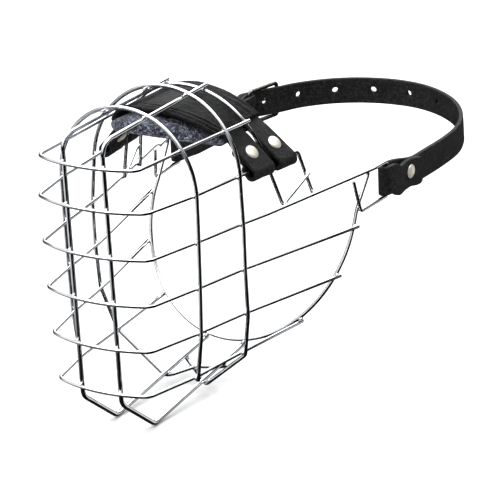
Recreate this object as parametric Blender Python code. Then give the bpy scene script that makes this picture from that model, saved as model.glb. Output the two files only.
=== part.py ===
"""Wire basket muzzle with a felt-lined leather nose saddle and a buckled leather neck strap.

Lengths are in millimetres on the pattern below; MM turns them into metres where geometry is made.
Pattern axes: X across the snout, Y from the nose back towards the neck, Z up. Y = 0 is the front of
the two centre wires and Z = 0 is the level under the front bends. The world origin is the midpoint
between the two cheek bars, which is also the axis on which the neck strap tilts.
"""
import math

import bmesh
import bpy
from mathutils import Matrix, Vector

MM = 0.001

# Wire
ROW_WIRE = 2.4
HOOP_WIRE = 2.6
CENTRE_WIRE = 3.0
GAP = 0.3

# Rows: six level U-shaped wires, counted from the top
ROW_PITCH = 30.0
ROW_LOWEST_Z = 40.0
ROW_TOP_Z = 187.0
ROW_BOW_RADIUS = 85.0
ROW_CORNER_RADIUS = 7.5
ROW_CORNER_HALF = (36.0, 39.5, 39.5, 38.5, 36.5, 33.8)
ROW_OVERHANG = 1.5
ROW_THREE_BEND_Y = 105.0
ROW_TWO_END = (60.0, 144.0)
RISER_FOOT_Y = 150.0
RISER_FOOT_Z = 129.9
ROW_THREE_RISE = 3.4
ROW_THREE_END = (81.8, 205.0)

# Centre wires
CENTRE_HALF = 14.5
TOP_FRONT = (-3.0, 202.4)
TOP_REAR = (111.5, 207.2)
CHIN_FRONT = (1.2, 32.2)
BASE_FRONT = (34.7, 5.6)
BASE_REAR_Y = 143.0
BASE_SLOPE = math.radians(7.7)

# Hoops: arch radius, height of the arch centre
HOOP_FRONT_RADIUS = 50.5
HOOP_FRONT_CENTRE_Z = 159.3
HOOP_FRONT_Y = 41.5
HOOP_MIDDLE_RADIUS = 55.2
HOOP_MIDDLE_CENTRE_Z = 156.0
HOOP_REAR_RADIUS = 52.9
HOOP_REAR_CENTRE_Z = 153.2
HOOP_REAR_TOP_Y = 108.5
HOOP_REAR_FOOT_Y = 122.7
HOOP_REAR_FLARE = math.radians(15.3)

# Rear rim: a leaning half ellipse
RIM_HALF_WIDTH = 78.0
RIM_DEPTH = 78.4
RIM_SPRING = (181.0, 100.0)
RIM_LEAN = 0.504

# Cheek loops, which carry the neck strap
BAR_X = 82.0
BAR_Y = 219.5
BAR_TOP_Z = 133.4
BAR_BOTTOM_Z = 109.9
STRAP_Z = 120.0

# Nose saddle, layered from the felt outwards around one long axis
SADDLE_AXIS_Z = 152.6
FELT_RADII = (39.6, 46.2)
FELT_HALF_ANGLE = math.radians(57)
TAB_RADIUS = 47.8
TAB_THICKNESS = 2.6
PLATE_RADII = (49.5, 51.3)
PLATE_HALF_ANGLE = math.radians(51)
PLATE_STRAIGHT_FROM = math.radians(43.5)
EDGE_ROLL = 3.0
TAB_LOOP_RADIUS = 3.4
TAB_LOOP_SLACK = 2.0
TAB_RIVET_UP = 9.8
TAB_END_UP = 18.5
TAB_FLAT_UNDER_PLATE = 10.0

# Neck strap and buckle
STRAP_WIDTH = 19.5
STRAP_THICKNESS = 3.2
STRAP_HALF = 78.9
STRAP_BACK_Y = 312.0
STRAP_LEAN = math.radians(5)
STRAP_HANG = 5.6
FOLD_LIFT = 1.5
NECK_LIFT = 1.8
RING_END = math.radians(158)
TAB_END_Y = 266.0
CHEEK_RIVET_Y = 248.0
CHEEK_RIVET_RISE = {1: -2.0, -1: 0.0}
HOLE_DIAMETER = 4.4
HOLE_PITCH = 28.6
FIRST_HOLE = 10.0
HOLE_RISE = 1.0
HOLE_COUNT = 6
BUCKLE_STRAP_THICKNESS = 2.8
BUCKLE_STRAP_LAYER = 3.1
BUCKLE_WIRE = 3.0
BUCKLE_HALF_HEIGHT = 11.8
HEEL = (-82.1, 311.5)
REAR_BAR = (-77.3, 341.4)
HEEL_WRAP = 6.7
BUCKLE_Z = STRAP_Z + NECK_LIFT
PRONG_REACH = 7.0
PRONG_WIRE = 2.0
PRONG_SLOT = 4.0
STRAP_TIP_Y = 256.0
KEEPER_Y = 268.0
KEEPER_WIDTH = 8.0
KEEPER_THICKNESS = 2.0

# Rivets
RIVET_HEAD_RADIUS = 4.7
RIVET_HEAD_HEIGHT = 1.9
RIVET_POST_RADIUS = 1.5
RIVET_HOLE_RADIUS = 1.9
BURR_RADIUS = 4.0
BURR_THICKNESS = 1.0

ORIGIN = Vector((0.0, BAR_Y, STRAP_Z))
ROW_ON_HOOP = (ROW_WIRE + HOOP_WIRE) / 2 + GAP
ROW_ON_CENTRE = (ROW_WIRE + CENTRE_WIRE) / 2 + GAP
HOOP_ON_CENTRE = (HOOP_WIRE + CENTRE_WIRE) / 2 + GAP
ROW_ON_ROW = ROW_WIRE + GAP


# ---------------------------------------------------------------- scene helpers

def clear_scene():
    for obj in list(bpy.data.objects):
        bpy.data.objects.remove(obj, do_unlink=True)


def principled(name, colour, roughness, metallic=0.0):
    material = bpy.data.materials.new(name)
    material.use_nodes = True
    shader = material.node_tree.nodes["Principled BSDF"]
    shader.inputs["Base Color"].default_value = (*colour, 1.0)
    shader.inputs["Roughness"].default_value = roughness
    shader.inputs["Metallic"].default_value = metallic
    return material


def axis_empty(name, point, parent=None):
    """Empty at a pattern point, which the pieces of one body are parented to."""
    empty = bpy.data.objects.new(name, None)
    bpy.context.collection.objects.link(empty)
    base = parent["pattern_point"] if parent else ORIGIN
    empty.location = (Vector(point) - Vector(base)) * MM
    empty.parent = parent
    empty["pattern_point"] = tuple(point)
    return empty


def add_object(name, data, parent, material, origin):
    obj = bpy.data.objects.new(name, data)
    bpy.context.collection.objects.link(obj)
    obj.parent = parent
    obj.location = (Vector(origin) - Vector(parent["pattern_point"])) * MM
    if material:
        data.materials.append(material)
    return obj


def add_wire(name, path, diameter, parent, material, cyclic=False, origin=None):
    """Round wire along a path of pattern points."""
    origin = Vector(origin or parent["pattern_point"])
    curve = bpy.data.curves.new(name, "CURVE")
    curve.dimensions = "3D"
    curve.bevel_depth = diameter / 2 * MM
    curve.bevel_resolution = 2
    curve.use_fill_caps = True
    spline = curve.splines.new("POLY")
    spline.points.add(len(path) - 1)
    spline.use_cyclic_u = cyclic
    for point, place in zip(spline.points, path):
        point.co = (*((Vector(place) - origin) * MM), 1.0)
    return add_object(name, curve, parent, material, origin)


def mesh_object(name, bm, parent, material, origin=None, smooth_angle=40):
    """Object from a bmesh in pattern millimetres."""
    origin = Vector(origin or parent["pattern_point"])
    bmesh.ops.transform(bm, matrix=Matrix.Scale(MM, 4) @ Matrix.Translation(-origin), verts=bm.verts)
    bmesh.ops.recalc_face_normals(bm, faces=bm.faces)
    mesh = bpy.data.meshes.new(name)
    bm.to_mesh(mesh)
    bm.free()
    mesh.shade_smooth()
    mesh.set_sharp_from_angle(angle=math.radians(smooth_angle))
    return add_object(name, mesh, parent, material, origin)


def loft(rings, closed=False):
    """Closed solid from rings of equal length: walls between rings, and caps unless it closes."""
    bm = bmesh.new()
    loops = [[bm.verts.new(point) for point in ring] for ring in rings]
    pairs = list(zip(loops, loops[1:]))
    if closed:
        pairs.append((loops[-1], loops[0]))
    for first, second in pairs:
        for i in range(len(first)):
            j = (i + 1) % len(first)
            bm.faces.new((first[i], first[j], second[j], second[i]))
    if not closed:
        bm.faces.new(loops[0])
        bm.faces.new(list(reversed(loops[-1])))
    return bm


def cylinder_bm(radius, length, centre, direction, segments=16, stretch=None):
    bm = bmesh.new()
    turn = Vector((0, 0, 1)).rotation_difference(Vector(direction)).to_matrix().to_4x4()
    bmesh.ops.create_cone(bm, cap_ends=True, segments=segments, radius1=radius, radius2=radius,
                          depth=length)
    if stretch:
        bmesh.ops.scale(bm, vec=stretch, verts=bm.verts)
    bmesh.ops.transform(bm, matrix=Matrix.Translation(centre) @ turn, verts=bm.verts)
    return bm


def cut(target, bm, name):
    """Cut the bmesh, in pattern millimetres, out of the target."""
    parent = target.parent
    cutter = mesh_object(name, bm, parent, None)
    cutter.hide_render = True
    cutter.display_type = "WIRE"
    modifier = target.modifiers.new(name, "BOOLEAN")
    modifier.operation = "DIFFERENCE"
    modifier.solver = "EXACT"
    modifier.object = cutter


# ---------------------------------------------------------------- path helpers

def rounded(points, radii, step=math.radians(18)):
    """Polyline whose inner corners are turned on arcs. radii is one number, or one for each corner."""
    points = [Vector(p) for p in points]
    if not isinstance(radii, (list, tuple)):
        radii = [radii] * (len(points) - 2)
    path = [points[0]]
    for before, corner, after, radius in zip(points, points[1:], points[2:], radii):
        way_in = (corner - before).normalized()
        way_out = (after - corner).normalized()
        turn = way_in.angle(way_out)
        reach = radius * math.tan(turn / 2)
        reach = min(reach, 0.48 * (corner - before).length, 0.48 * (after - corner).length)
        if reach < 0.2:
            path.append(corner)
            continue
        count = max(2, math.ceil(turn / step))
        middle = (way_out - way_in).normalized()
        arc_radius = reach / math.tan(turn / 2)
        centre = corner + middle * (arc_radius / math.cos(turn / 2))
        axis = way_in.cross(way_out).normalized()
        start = corner - way_in * reach - centre
        for i in range(count + 1):
            path.append(centre + Matrix.Rotation(turn * i / count, 3, axis) @ start)
    path.append(points[-1])
    return path


def arc(centre, radius, start, stop, count):
    """Points of an arc in a plane, with angles measured from the first axis."""
    angles = [start + (stop - start) * i / count for i in range(count + 1)]
    return [(centre[0] + radius * math.cos(a), centre[1] + radius * math.sin(a)) for a in angles]


def mirrored(points):
    return [(-p[0], p[1], p[2]) for p in points]


def both_sides(half):
    """A path over the top or round the front: the mirrored half reversed, then the half itself.
    The half starts on the centre plane."""
    return list(reversed(mirrored(half[1:]))) + list(half)


def between(a, b, t):
    return a + (b - a) * t


# ---------------------------------------------------------------- hoops and rim

def base_z(y):
    """Height of the centre wires' bottom run."""
    return BASE_FRONT[1] + (y - BASE_FRONT[0]) * math.tan(BASE_SLOPE)


def hoop_front_leg():
    return [(50.4, 140.0), (49.7, 100.0), (48.7, 69.0), (44.8, 38.0)]


def hoop_middle_leg():
    return [(57.3, 128.0), (57.2, 100.0), (56.6, 69.0), (49.4, 38.5)]


def leg_half_width(leg, z):
    """Half width of a hoop's leg at a height."""
    for (x0, z0), (x1, z1) in zip(leg, leg[1:]):
        if z1 <= z <= z0:
            return between(x0, x1, (z - z0) / (z1 - z0))
    return leg[0][0]


def hoop_middle_y(z):
    """The middle hoop leans back a little at its top and at its chin."""
    if z > 100.0:
        return between(81.5, 86.8, max(0.0, (z - 130.0) / 80.0))
    return between(81.5, 89.0, ((100.0 - z) / 60.0) ** 2)


def hoop_rear_y(z):
    foot_z = row_z(2)
    top = HOOP_REAR_CENTRE_Z + HOOP_REAR_RADIUS
    return between(HOOP_REAR_FOOT_Y, HOOP_REAR_TOP_Y, (z - foot_z) / (top - foot_z))


def rim_y(z):
    return RIM_SPRING[0] + (z - RIM_SPRING[1]) * RIM_LEAN


def arch(radius, centre_z, sweep, count):
    """Half an arch from its top, as (x, z)."""
    return [(x, z) for z, x in arc((centre_z, 0.0), radius, 0.0, sweep, count)]


def build_hoop_front(parent, material):
    half = arch(HOOP_FRONT_RADIUS, HOOP_FRONT_CENTRE_Z, math.pi / 2, 9)
    half = [(x, HOOP_FRONT_Y, z) for x, z in half + hoop_front_leg()]
    add_wire("hoop_front", both_sides(half), HOOP_WIRE, parent, material)


def build_hoop_middle(parent, material):
    """Middle hoop. Its ends turn in under the chin and cross below the two centre wires."""
    half = arch(HOOP_MIDDLE_RADIUS, HOOP_MIDDLE_CENTRE_Z, math.pi / 2, 9)
    half = [(x, hoop_middle_y(z), z) for x, z in half + hoop_middle_leg()]
    drop = HOOP_ON_CENTRE
    near_y, far_y = 93.0, 118.0
    over = HOOP_WIRE + GAP
    lift = (0.0, over)
    ends = []
    for side, rise in zip((1, -1), lift):
        leg = [(side * x, y, z) for x, y, z in half]
        cross = [leg[-2], leg[-1]]
        for share in (1.0, 0.75, 0.0, -0.75, -1.0):
            y = between(near_y, far_y, (1 - share) / 2)
            z = base_z(y) - drop + (rise if share == 0.0 else 0.0)
            cross.append((side * share * (CENTRE_HALF + 1.5), y, z))
        tail = rounded(cross, [5.0, 5.0, 8.0, 12.0, 8.0])
        ends.append(leg[:-2] + tail)
    path = list(reversed(ends[1][1:])) + ends[0]
    add_wire("hoop_middle", path, HOOP_WIRE, parent, material)


def build_hoop_rear(parent, material):
    """Rear hoop: an arch on flared legs, each bent sharply at row three into a short brace."""
    sweep = math.pi / 2 - HOOP_REAR_FLARE
    half = arch(HOOP_REAR_RADIUS, HOOP_REAR_CENTRE_Z, sweep, 9)
    half = [(x, hoop_rear_y(z), z) for x, z in half]
    foot = (row_half_width(2, HOOP_REAR_FOOT_Y) - ROW_ON_ROW, HOOP_REAR_FOOT_Y,
            row_height(2, HOOP_REAR_FOOT_Y))
    riser = riser_point(145.5)
    brace_end = (riser[0] + ROW_ON_ROW, riser[1] + 0.6, 145.5)
    half = half[:-1] + rounded([half[-1], foot, brace_end], 1.6)
    add_wire("hoop_rear", both_sides(half), ROW_WIRE, parent, material)


def build_rear_rim(parent, material):
    """Leaning U round the back opening, with an arm on each cheek that hooks along row three."""
    sweep = math.pi / 2
    lower = [(RIM_HALF_WIDTH * math.sin(sweep * i / 12),
              RIM_SPRING[1] - RIM_DEPTH * math.cos(sweep * i / 12)) for i in range(13)]
    half = [(x, rim_y(z), z) for x, z in lower]
    arm_top = (row_half_width(2, 203.0) - ROW_ON_ROW, 203.0, row_height(2, 203.0) - 0.4)
    hook_end = (row_half_width(2, 186.0) - ROW_ON_ROW, 186.0, row_height(2, 186.0) - 0.4)
    arm = rounded([(77.4, 187.0, 110.5), arm_top, hook_end], 2.5)
    half = half + arm
    add_wire("rear_rim", both_sides(half), ROW_WIRE, parent, material)


# ---------------------------------------------------------------- rows

def row_z(index):
    """Height of a row. Index 0 is the top row."""
    return ROW_TOP_Z if index == 0 else ROW_LOWEST_Z + ROW_PITCH * (5 - index)


def row_height(index, y):
    """As row_z, but row three's rear ends rise towards the cheek bars."""
    rise = max(0.0, y - ROW_THREE_BEND_Y) / (ROW_THREE_END[1] - ROW_THREE_BEND_Y) * ROW_THREE_RISE
    return row_z(index) + (rise if index == 2 else 0.0)


def centre_front_y(z):
    """Front of the centre wires at a height: they lean back a little towards the chin."""
    share = (TOP_FRONT[1] - z) / (TOP_FRONT[1] - CHIN_FRONT[1])
    return between(TOP_FRONT[0], CHIN_FRONT[0], share)


def row_bow_y(index, x):
    """Front bow of a row, which lies just in front of the centre wires."""
    touch = centre_front_y(row_z(index)) - ROW_ON_CENTRE - 0.15
    return touch + (x ** 2 - CENTRE_HALF ** 2) / (2 * ROW_BOW_RADIUS)


def inside_arch(radius, centre_z, z, offset):
    return math.sqrt((radius - offset) ** 2 - (z - centre_z) ** 2)


def row_side(index):
    """Side wall of a row behind its corner, as (x, y), from the front hoop to its rear end."""
    z = row_z(index)
    if index == 0:
        rear_y = hoop_rear_y(z)
        rear_x = inside_arch(HOOP_REAR_RADIUS, HOOP_REAR_CENTRE_Z, z, -ROW_ON_ROW)
        return [(inside_arch(HOOP_FRONT_RADIUS, HOOP_FRONT_CENTRE_Z, z, ROW_ON_HOOP), HOOP_FRONT_Y),
                (inside_arch(HOOP_MIDDLE_RADIUS, HOOP_MIDDLE_CENTRE_Z, z, ROW_ON_HOOP),
                 hoop_middle_y(z)),
                (rear_x, rear_y)]
    front_x = leg_half_width(hoop_front_leg(), z) - ROW_ON_HOOP
    if index == 1:
        front_x = HOOP_FRONT_RADIUS - ROW_ON_HOOP
        middle_x = inside_arch(HOOP_MIDDLE_RADIUS, HOOP_MIDDLE_CENTRE_Z, z, ROW_ON_HOOP)
        return [(front_x, HOOP_FRONT_Y), (middle_x, hoop_middle_y(z)), ROW_TWO_END]
    middle = (leg_half_width(hoop_middle_leg(), z) - ROW_ON_HOOP, hoop_middle_y(z))
    if index == 2:
        share = (ROW_THREE_BEND_Y - middle[1]) / (ROW_THREE_END[1] - middle[1])
        bend = (between(middle[0], ROW_THREE_END[0], share), ROW_THREE_BEND_Y)
        return [(front_x, HOOP_FRONT_Y), middle, bend, ROW_THREE_END]
    rim_x = RIM_HALF_WIDTH * math.sqrt(1 - ((RIM_SPRING[1] - z) / RIM_DEPTH) ** 2)
    slope = Vector((rim_x / RIM_HALF_WIDTH ** 2, (RIM_SPRING[1] - z) / RIM_DEPTH ** 2)).normalized()
    return [(front_x, HOOP_FRONT_Y), middle, (rim_x + ROW_ON_ROW / slope.x, rim_y(z))]


def row_half_width(index, y):
    """Half width of a row's side wall at a distance back."""
    side = row_side(index)
    for (x0, y0), (x1, y1) in zip(side, side[1:]):
        if y0 <= y <= y1:
            return between(x0, x1, (y - y0) / (y1 - y0))
    raise ValueError("beyond the row")


def row_front(index):
    """Front bow up to the corner, as (x, y), from the centre plane."""
    corner = ROW_CORNER_HALF[index]
    return [(corner * i / 4, row_bow_y(index, corner * i / 4)) for i in range(5)]


def riser_point(z):
    """Centre of row two's riser at a height: it stands inside row three."""
    top = Vector((*ROW_TWO_END, row_z(1)))
    foot = Vector((row_half_width(2, RISER_FOOT_Y) - ROW_ON_ROW, RISER_FOOT_Y, RISER_FOOT_Z))
    return top.lerp(foot, (top.z - z) / (top.z - foot.z))


def build_row(index, parent, material):
    z = row_z(index)
    front = row_front(index)
    side = row_side(index)
    if index in (0, 3, 4, 5):
        last, before = Vector(side[-1]), Vector(side[-2])
        side[-1] = tuple(last + (last - before).normalized() * ROW_OVERHANG)
    level = [(x, y, row_height(index, y)) for x, y in front[-2:] + side]
    radii = [ROW_CORNER_RADIUS, 40.0] + [60.0] * (len(side) - 2)
    if index == 1:
        level.append(tuple(riser_point(RISER_FOOT_Z)))
        radii.append(4.0)
    if index == 2:
        arm_y = 183.4
        level += [(BAR_X - 0.1, 210.0, BAR_TOP_Z),
                  (BAR_X, BAR_Y, BAR_TOP_Z),
                  (BAR_X, BAR_Y, BAR_BOTTOM_Z),
                  (BAR_X - 0.1, 210.0, BAR_BOTTOM_Z),
                  (80.3, 187.0, 108.9),
                  (row_half_width(2, arm_y) + 0.3, arm_y, row_height(2, arm_y) - ROW_ON_ROW - 0.1)]
        radii += [20.0, 20.0, 3.0, 3.0, 20.0, 2.2]
    half = [(x, y, z) for x, y in front[:-2]] + rounded(level, radii[:len(level) - 2])
    add_wire(f"row_wire_{index + 1}", both_sides(half), ROW_WIRE, parent, material)


# ---------------------------------------------------------------- centre wires

def build_centre_wire(name, side, parent, material):
    corners = [TOP_REAR, TOP_FRONT, CHIN_FRONT, BASE_FRONT, (BASE_REAR_Y, base_z(BASE_REAR_Y))]
    points = [(side * CENTRE_HALF, y, z) for y, z in corners]
    path = rounded(points, [9.0, 9.0, 8.0], step=math.radians(15))
    add_wire(name, path, CENTRE_WIRE, parent, material)


# ---------------------------------------------------------------- nose saddle

def saddle_point(radius, angle, y):
    return (radius * math.sin(angle), y, SADDLE_AXIS_Z + radius * math.cos(angle))


def plate_point(radius, angle, y):
    """As saddle_point, but the skirts run straight on down, as the tabs pull them."""
    past = max(0.0, abs(angle) - PLATE_STRAIGHT_FROM) * TAB_RADIUS
    bend = min(abs(angle), PLATE_STRAIGHT_FROM)
    x = radius * math.sin(bend) + past * math.cos(bend)
    z = radius * math.cos(bend) - past * math.sin(bend)
    return (math.copysign(x, angle), y, SADDLE_AXIS_Z + z)


def felt_front_y(angle):
    return 44.0 + 50.0 * (abs(angle) / FELT_HALF_ANGLE) ** 2


def plate_front_y(angle):
    return 65.0 + 22.0 * (abs(angle) / PLATE_HALF_ANGLE) ** 1.5


def plate_rear_y(angle):
    return 125.0 + 8.0 * (abs(angle) / PLATE_HALF_ANGLE) ** 2


def felt_rear_y(angle):
    return 123.5 + 5.5 * (abs(angle) / FELT_HALF_ANGLE) ** 2


def build_saddle_layer(name, surface, radii, half_angle, edges, parent, material, count=20):
    """Curved layer of the saddle between two radii, with its own front and rear edge lines."""
    front, rear = edges
    inner, outer = radii
    rings = []
    for i in range(count + 1):
        angle = half_angle * (2 * i / count - 1)
        rings.append([surface(inner, angle, front(angle)), surface(outer, angle, front(angle)),
                      surface(outer, angle, rear(angle)), surface(inner, angle, rear(angle))])
    return mesh_object(name, loft(rings), parent, material)


def build_edge_roll(parent, material, count=20):
    """Rolled leather edge along the front of the saddle plate."""
    radius = sum(PLATE_RADII) / 2
    path = []
    for i in range(count + 1):
        angle = PLATE_HALF_ANGLE * (2 * i / count - 1)
        slope = (plate_front_y(angle + 0.01) - plate_front_y(angle - 0.01)) / (0.02 * radius)
        offset = (EDGE_ROLL / 2 + GAP) * math.sqrt(1 + slope ** 2)
        path.append(plate_point(radius, angle, plate_front_y(angle) - offset))
    add_wire("saddle_edge_roll", path, EDGE_ROLL, parent, material)


def strip_rings(stations):
    """Rings of a flat strip. A station is (centre, normal, side, thickness, width)."""
    rings = []
    for centre, normal, side, thickness, width in stations:
        a = Vector(normal) * thickness / 2
        b = Vector(side) * width / 2
        c = Vector(centre)
        rings.append([c - a - b, c + a - b, c + a + b, c - a + b])
    return rings


def build_tab(name, side, top_y, loop_y, width, parent, materials):
    """Saddle tab: leaves the saddle on a tangent, wraps row two and is riveted back to itself."""
    leather, steel = materials
    spread = row_half_width(1, loop_y + 8) - row_half_width(1, loop_y - 8)
    along = Vector((spread, 16.0, 0)).normalized()
    axis = Vector((0, 0, SADDLE_AXIS_Z))
    wire = Vector((row_half_width(1, loop_y), 0, row_z(1)))
    reach = wire - axis
    leave = math.atan2(reach.x, reach.z) - math.acos((TAB_RADIUS - TAB_LOOP_RADIUS) / reach.length)
    normal = Vector((math.sin(leave), 0, math.cos(leave)))
    down = Vector((math.cos(leave), 0, -math.sin(leave)))
    foot = wire + normal * TAB_LOOP_RADIUS
    top = axis + normal * TAB_RADIUS
    run = (foot - top).length

    # Each entry is a centre, an outward normal, and how far along the straight run it is in height
    line = []
    for i in range(3):
        angle = leave - math.radians(4.5) * (2 - i)
        outward = Vector((math.sin(angle), 0, math.cos(angle)))
        line.append((axis + outward * TAB_RADIUS, outward, 0.0))
    for distance in (TAB_FLAT_UNDER_PLATE, run - TAB_END_UP - 1.0):
        line.append((top + down * distance, normal, distance / run))
    for i in range(9):
        outward = Matrix.Rotation(math.radians(200) * i / 8, 3, Vector((0, 1, 0))) @ normal
        line.append((wire + down * TAB_LOOP_SLACK + outward * TAB_LOOP_RADIUS, outward, 1.0))
    line.append((wire - normal * 3.0 - down * 2.5, -normal, 1.0))
    inner_line = foot - normal * (TAB_THICKNESS + GAP)
    for back in (TAB_RIVET_UP - 4.0, TAB_END_UP):
        line.append((inner_line - down * back, -normal, 1 - back / run))

    stations = []
    for i, (centre, outward, share) in enumerate(line):
        side_way = along if i > 3 else Vector((0, 1, 0))
        middle = Vector((centre.x, between(top_y, loop_y, share), centre.z))
        stations.append((middle, outward, side_way, TAB_THICKNESS, width))
    bm = loft(strip_rings(stations))
    flip = Matrix.Diagonal((side, 1, 1, 1))
    bmesh.ops.transform(bm, matrix=flip, verts=bm.verts)
    tab = mesh_object(name, bm, parent, leather)

    rivet = foot - down * TAB_RIVET_UP
    rivet.y = between(top_y, loop_y, 1 - TAB_RIVET_UP / run)
    pitch = (loop_y - top_y) / run
    square = (along).cross(down + Vector((0, pitch, 0))).normalized()
    square *= math.copysign(1.0, square.dot(normal))
    outer = flip.to_3x3() @ (rivet + square * TAB_THICKNESS / 2)
    inner = flip.to_3x3() @ (rivet - square * (1.5 * TAB_THICKNESS + GAP))
    build_rivet(name.replace("tab", "rivet"), inner, outer, tab, parent, steel)


# ---------------------------------------------------------------- rivets

def turned(profile, base, direction, segments=12):
    """Solid of revolution. The profile is (radius, height) along the direction; ends at radius 0
    close the solid, and a profile that never reaches 0 is joined back to its start."""
    bm = bmesh.new()
    spine = profile + ([profile[0]] if profile[0][0] > 0 else [])
    verts = [bm.verts.new((r, 0, h)) for r, h in spine]
    edges = [bm.edges.new(pair) for pair in zip(verts, verts[1:])]
    bmesh.ops.spin(bm, geom=verts + edges, cent=(0, 0, 0), axis=(0, 0, 1), dvec=(0, 0, 0),
                   angle=2 * math.pi, steps=segments)
    bmesh.ops.remove_doubles(bm, verts=bm.verts, dist=0.0005)
    turn = Vector((0, 0, 1)).rotation_difference(Vector(direction)).to_matrix().to_4x4()
    bmesh.ops.transform(bm, matrix=Matrix.Translation(base) @ turn, verts=bm.verts)
    return bm


def build_rivet(name, inner, outer, leather, parent, material):
    """Domed rivet through two layers, and the burr that its post is peened over.
    inner and outer are the points where its axis leaves the leather."""
    inner, outer = Vector(inner), Vector(outer)
    axis = (outer - inner).normalized()
    seat = (outer - inner).length + GAP
    tail = -(BURR_THICKNESS + GAP + 0.5)
    dome = [(RIVET_HEAD_RADIUS, seat), (RIVET_HEAD_RADIUS, seat + 0.45)]
    for r, h in ((0.9, 0.62), (0.7, 0.87), (0.4, 0.97)):
        dome.append((RIVET_HEAD_RADIUS * r, seat + RIVET_HEAD_HEIGHT * h))
    profile = [(0.0, tail), (RIVET_POST_RADIUS, tail), (RIVET_POST_RADIUS, seat)] + dome
    profile.append((0.0, seat + RIVET_HEAD_HEIGHT))
    mesh_object(name, turned(profile, inner, axis), parent, material)
    low, high = -GAP - BURR_THICKNESS, -GAP
    burr = [(RIVET_HOLE_RADIUS, low), (BURR_RADIUS, low), (BURR_RADIUS, high),
            (RIVET_HOLE_RADIUS, high)]
    mesh_object(name + "_burr", turned(burr, inner, axis), parent, material)
    middle = (inner + outer) / 2
    bore = cylinder_bm(RIVET_HOLE_RADIUS, (outer - inner).length + 2.0, middle, axis, 12)
    cut(leather, bore, name + "_hole")


# ---------------------------------------------------------------- neck strap

def smooth(value, low, high):
    """0 below low, 1 above high, and an even S between them."""
    t = min(1.0, max(0.0, (value - low) / (high - low)))
    return t * t * (3 - 2 * t)


def strap_lift(x, y):
    """Height of a strap's middle over the middle of the cheek bars. The right cheek's run hangs low,
    its folded-back tab sooner than its inner layer, and climbs again round the neck."""
    if x <= 0.0:
        return FOLD_LIFT * (1 - smooth(y, 221.5, 240.0)) + NECK_LIFT * smooth(y, 276.0, 298.0)
    if x > STRAP_HALF + 1.75 and y < TAB_END_Y + 1.0:
        return FOLD_LIFT - 5.0 * smooth(y, 221.0, 232.0) - 2.1 * smooth(y, CHEEK_RIVET_Y, 262.0)
    hang = FOLD_LIFT - (FOLD_LIFT + STRAP_HANG) * smooth(y, 221.5, 264.0)
    climb = max(0.0, y - 290.0) / (STRAP_BACK_Y + STRAP_HALF - 290.0)
    return hang + (NECK_LIFT + STRAP_HANG) * climb ** 1.5


def strap_lean(x, y):
    """Angle by which the strap's top edge leans in towards the neck."""
    return STRAP_LEAN * (smooth(y, 310.0, 385.0) if x > 0 else smooth(y, 338.0, 362.0))


def cheek_fold(side, layer, loose_end_y):
    """Strap path, as (x, y), from its loose end forward outside the cheek, round the front of the
    cheek bar and back to the inner layer beside it. layer is the distance between the layers."""
    reach = 7.2
    half = (BAR_X - STRAP_HALF)
    fold = [(STRAP_HALF + layer, loose_end_y), (STRAP_HALF + layer, 243.0),
            (BAR_X + half - 0.6, 231.0), (BAR_X + half, 224.0)]
    for i in range(9):
        angle = math.pi * i / 8
        fold.append((BAR_X + half * math.cos(angle), BAR_Y - reach * math.sin(angle)))
    return [(side * x, y) for x, y in fold]


def strap_stations(path, thickness, width, end_taper):
    """Stations of a strap whose faces stand upright along a path of (x, y). The two loose ends
    narrow over the last stations by end_taper."""
    stations = []
    for i, (x, y) in enumerate(path):
        before = Vector(path[max(i - 1, 0)])
        after = Vector(path[min(i + 1, len(path) - 1)])
        tangent = (after - before).normalized()
        outward = Vector((tangent.y, -tangent.x, 0))
        lean = Matrix.Rotation(-strap_lean(x, y), 3, (tangent.x, tangent.y, 0))
        taper = end_taper if i in (0, len(path) - 1) else 0.0
        centre = (x, y, STRAP_Z + strap_lift(x, y))
        stations.append((centre, lean @ outward, lean @ Vector((0, 0, 1)), thickness, width - taper))
    return stations


def long_strap_path():
    """From the right cheek round the neck, under the buckle's rear bar, over its heel and forward.
    Also gives the number of the point where it starts to turn over the heel."""
    path = cheek_fold(1, STRAP_THICKNESS + GAP, TAB_END_Y)
    path[1:1] = [(path[0][0], y) for y in (TAB_END_Y - 4.0, 255.0, 249.0)]
    path += [(STRAP_HALF, y) for y in (230.0, 236.0, 242.0, 248.0, 254.0, 260.0, 268.0, 284.0, 298.0)]
    path += arc((0.0, STRAP_BACK_Y), STRAP_HALF, 0.0, RING_END, 20)
    heel_x, heel_y = HEEL
    turn = len(path)
    path += arc((heel_x, heel_y), HEEL_WRAP, math.radians(162), math.radians(200), 4)
    lie = -(STRAP_HALF + BUCKLE_STRAP_LAYER + BUCKLE_STRAP_THICKNESS / 2 + GAP + STRAP_THICKNESS / 2)
    path += [(lie - 1.0, heel_y - 10.0), (lie, heel_y - 16.0), (lie, 287.0), (lie, 276.0),
             (lie, STRAP_TIP_Y + 5.0), (lie, STRAP_TIP_Y)]
    return path, turn


def path_length_to(path, index):
    points = [Vector(p) for p in path[:index + 1]]
    return sum((b - a).length for a, b in zip(points, points[1:]))


def point_along(path, distance):
    """Point and unit tangent at a distance along a path of (x, y)."""
    for start, end in zip(path, path[1:]):
        a, b = Vector(start), Vector(end)
        length = (b - a).length
        if distance <= length:
            return a.lerp(b, distance / length), (b - a).normalized()
        distance -= length
    raise ValueError("beyond the path")


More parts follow.
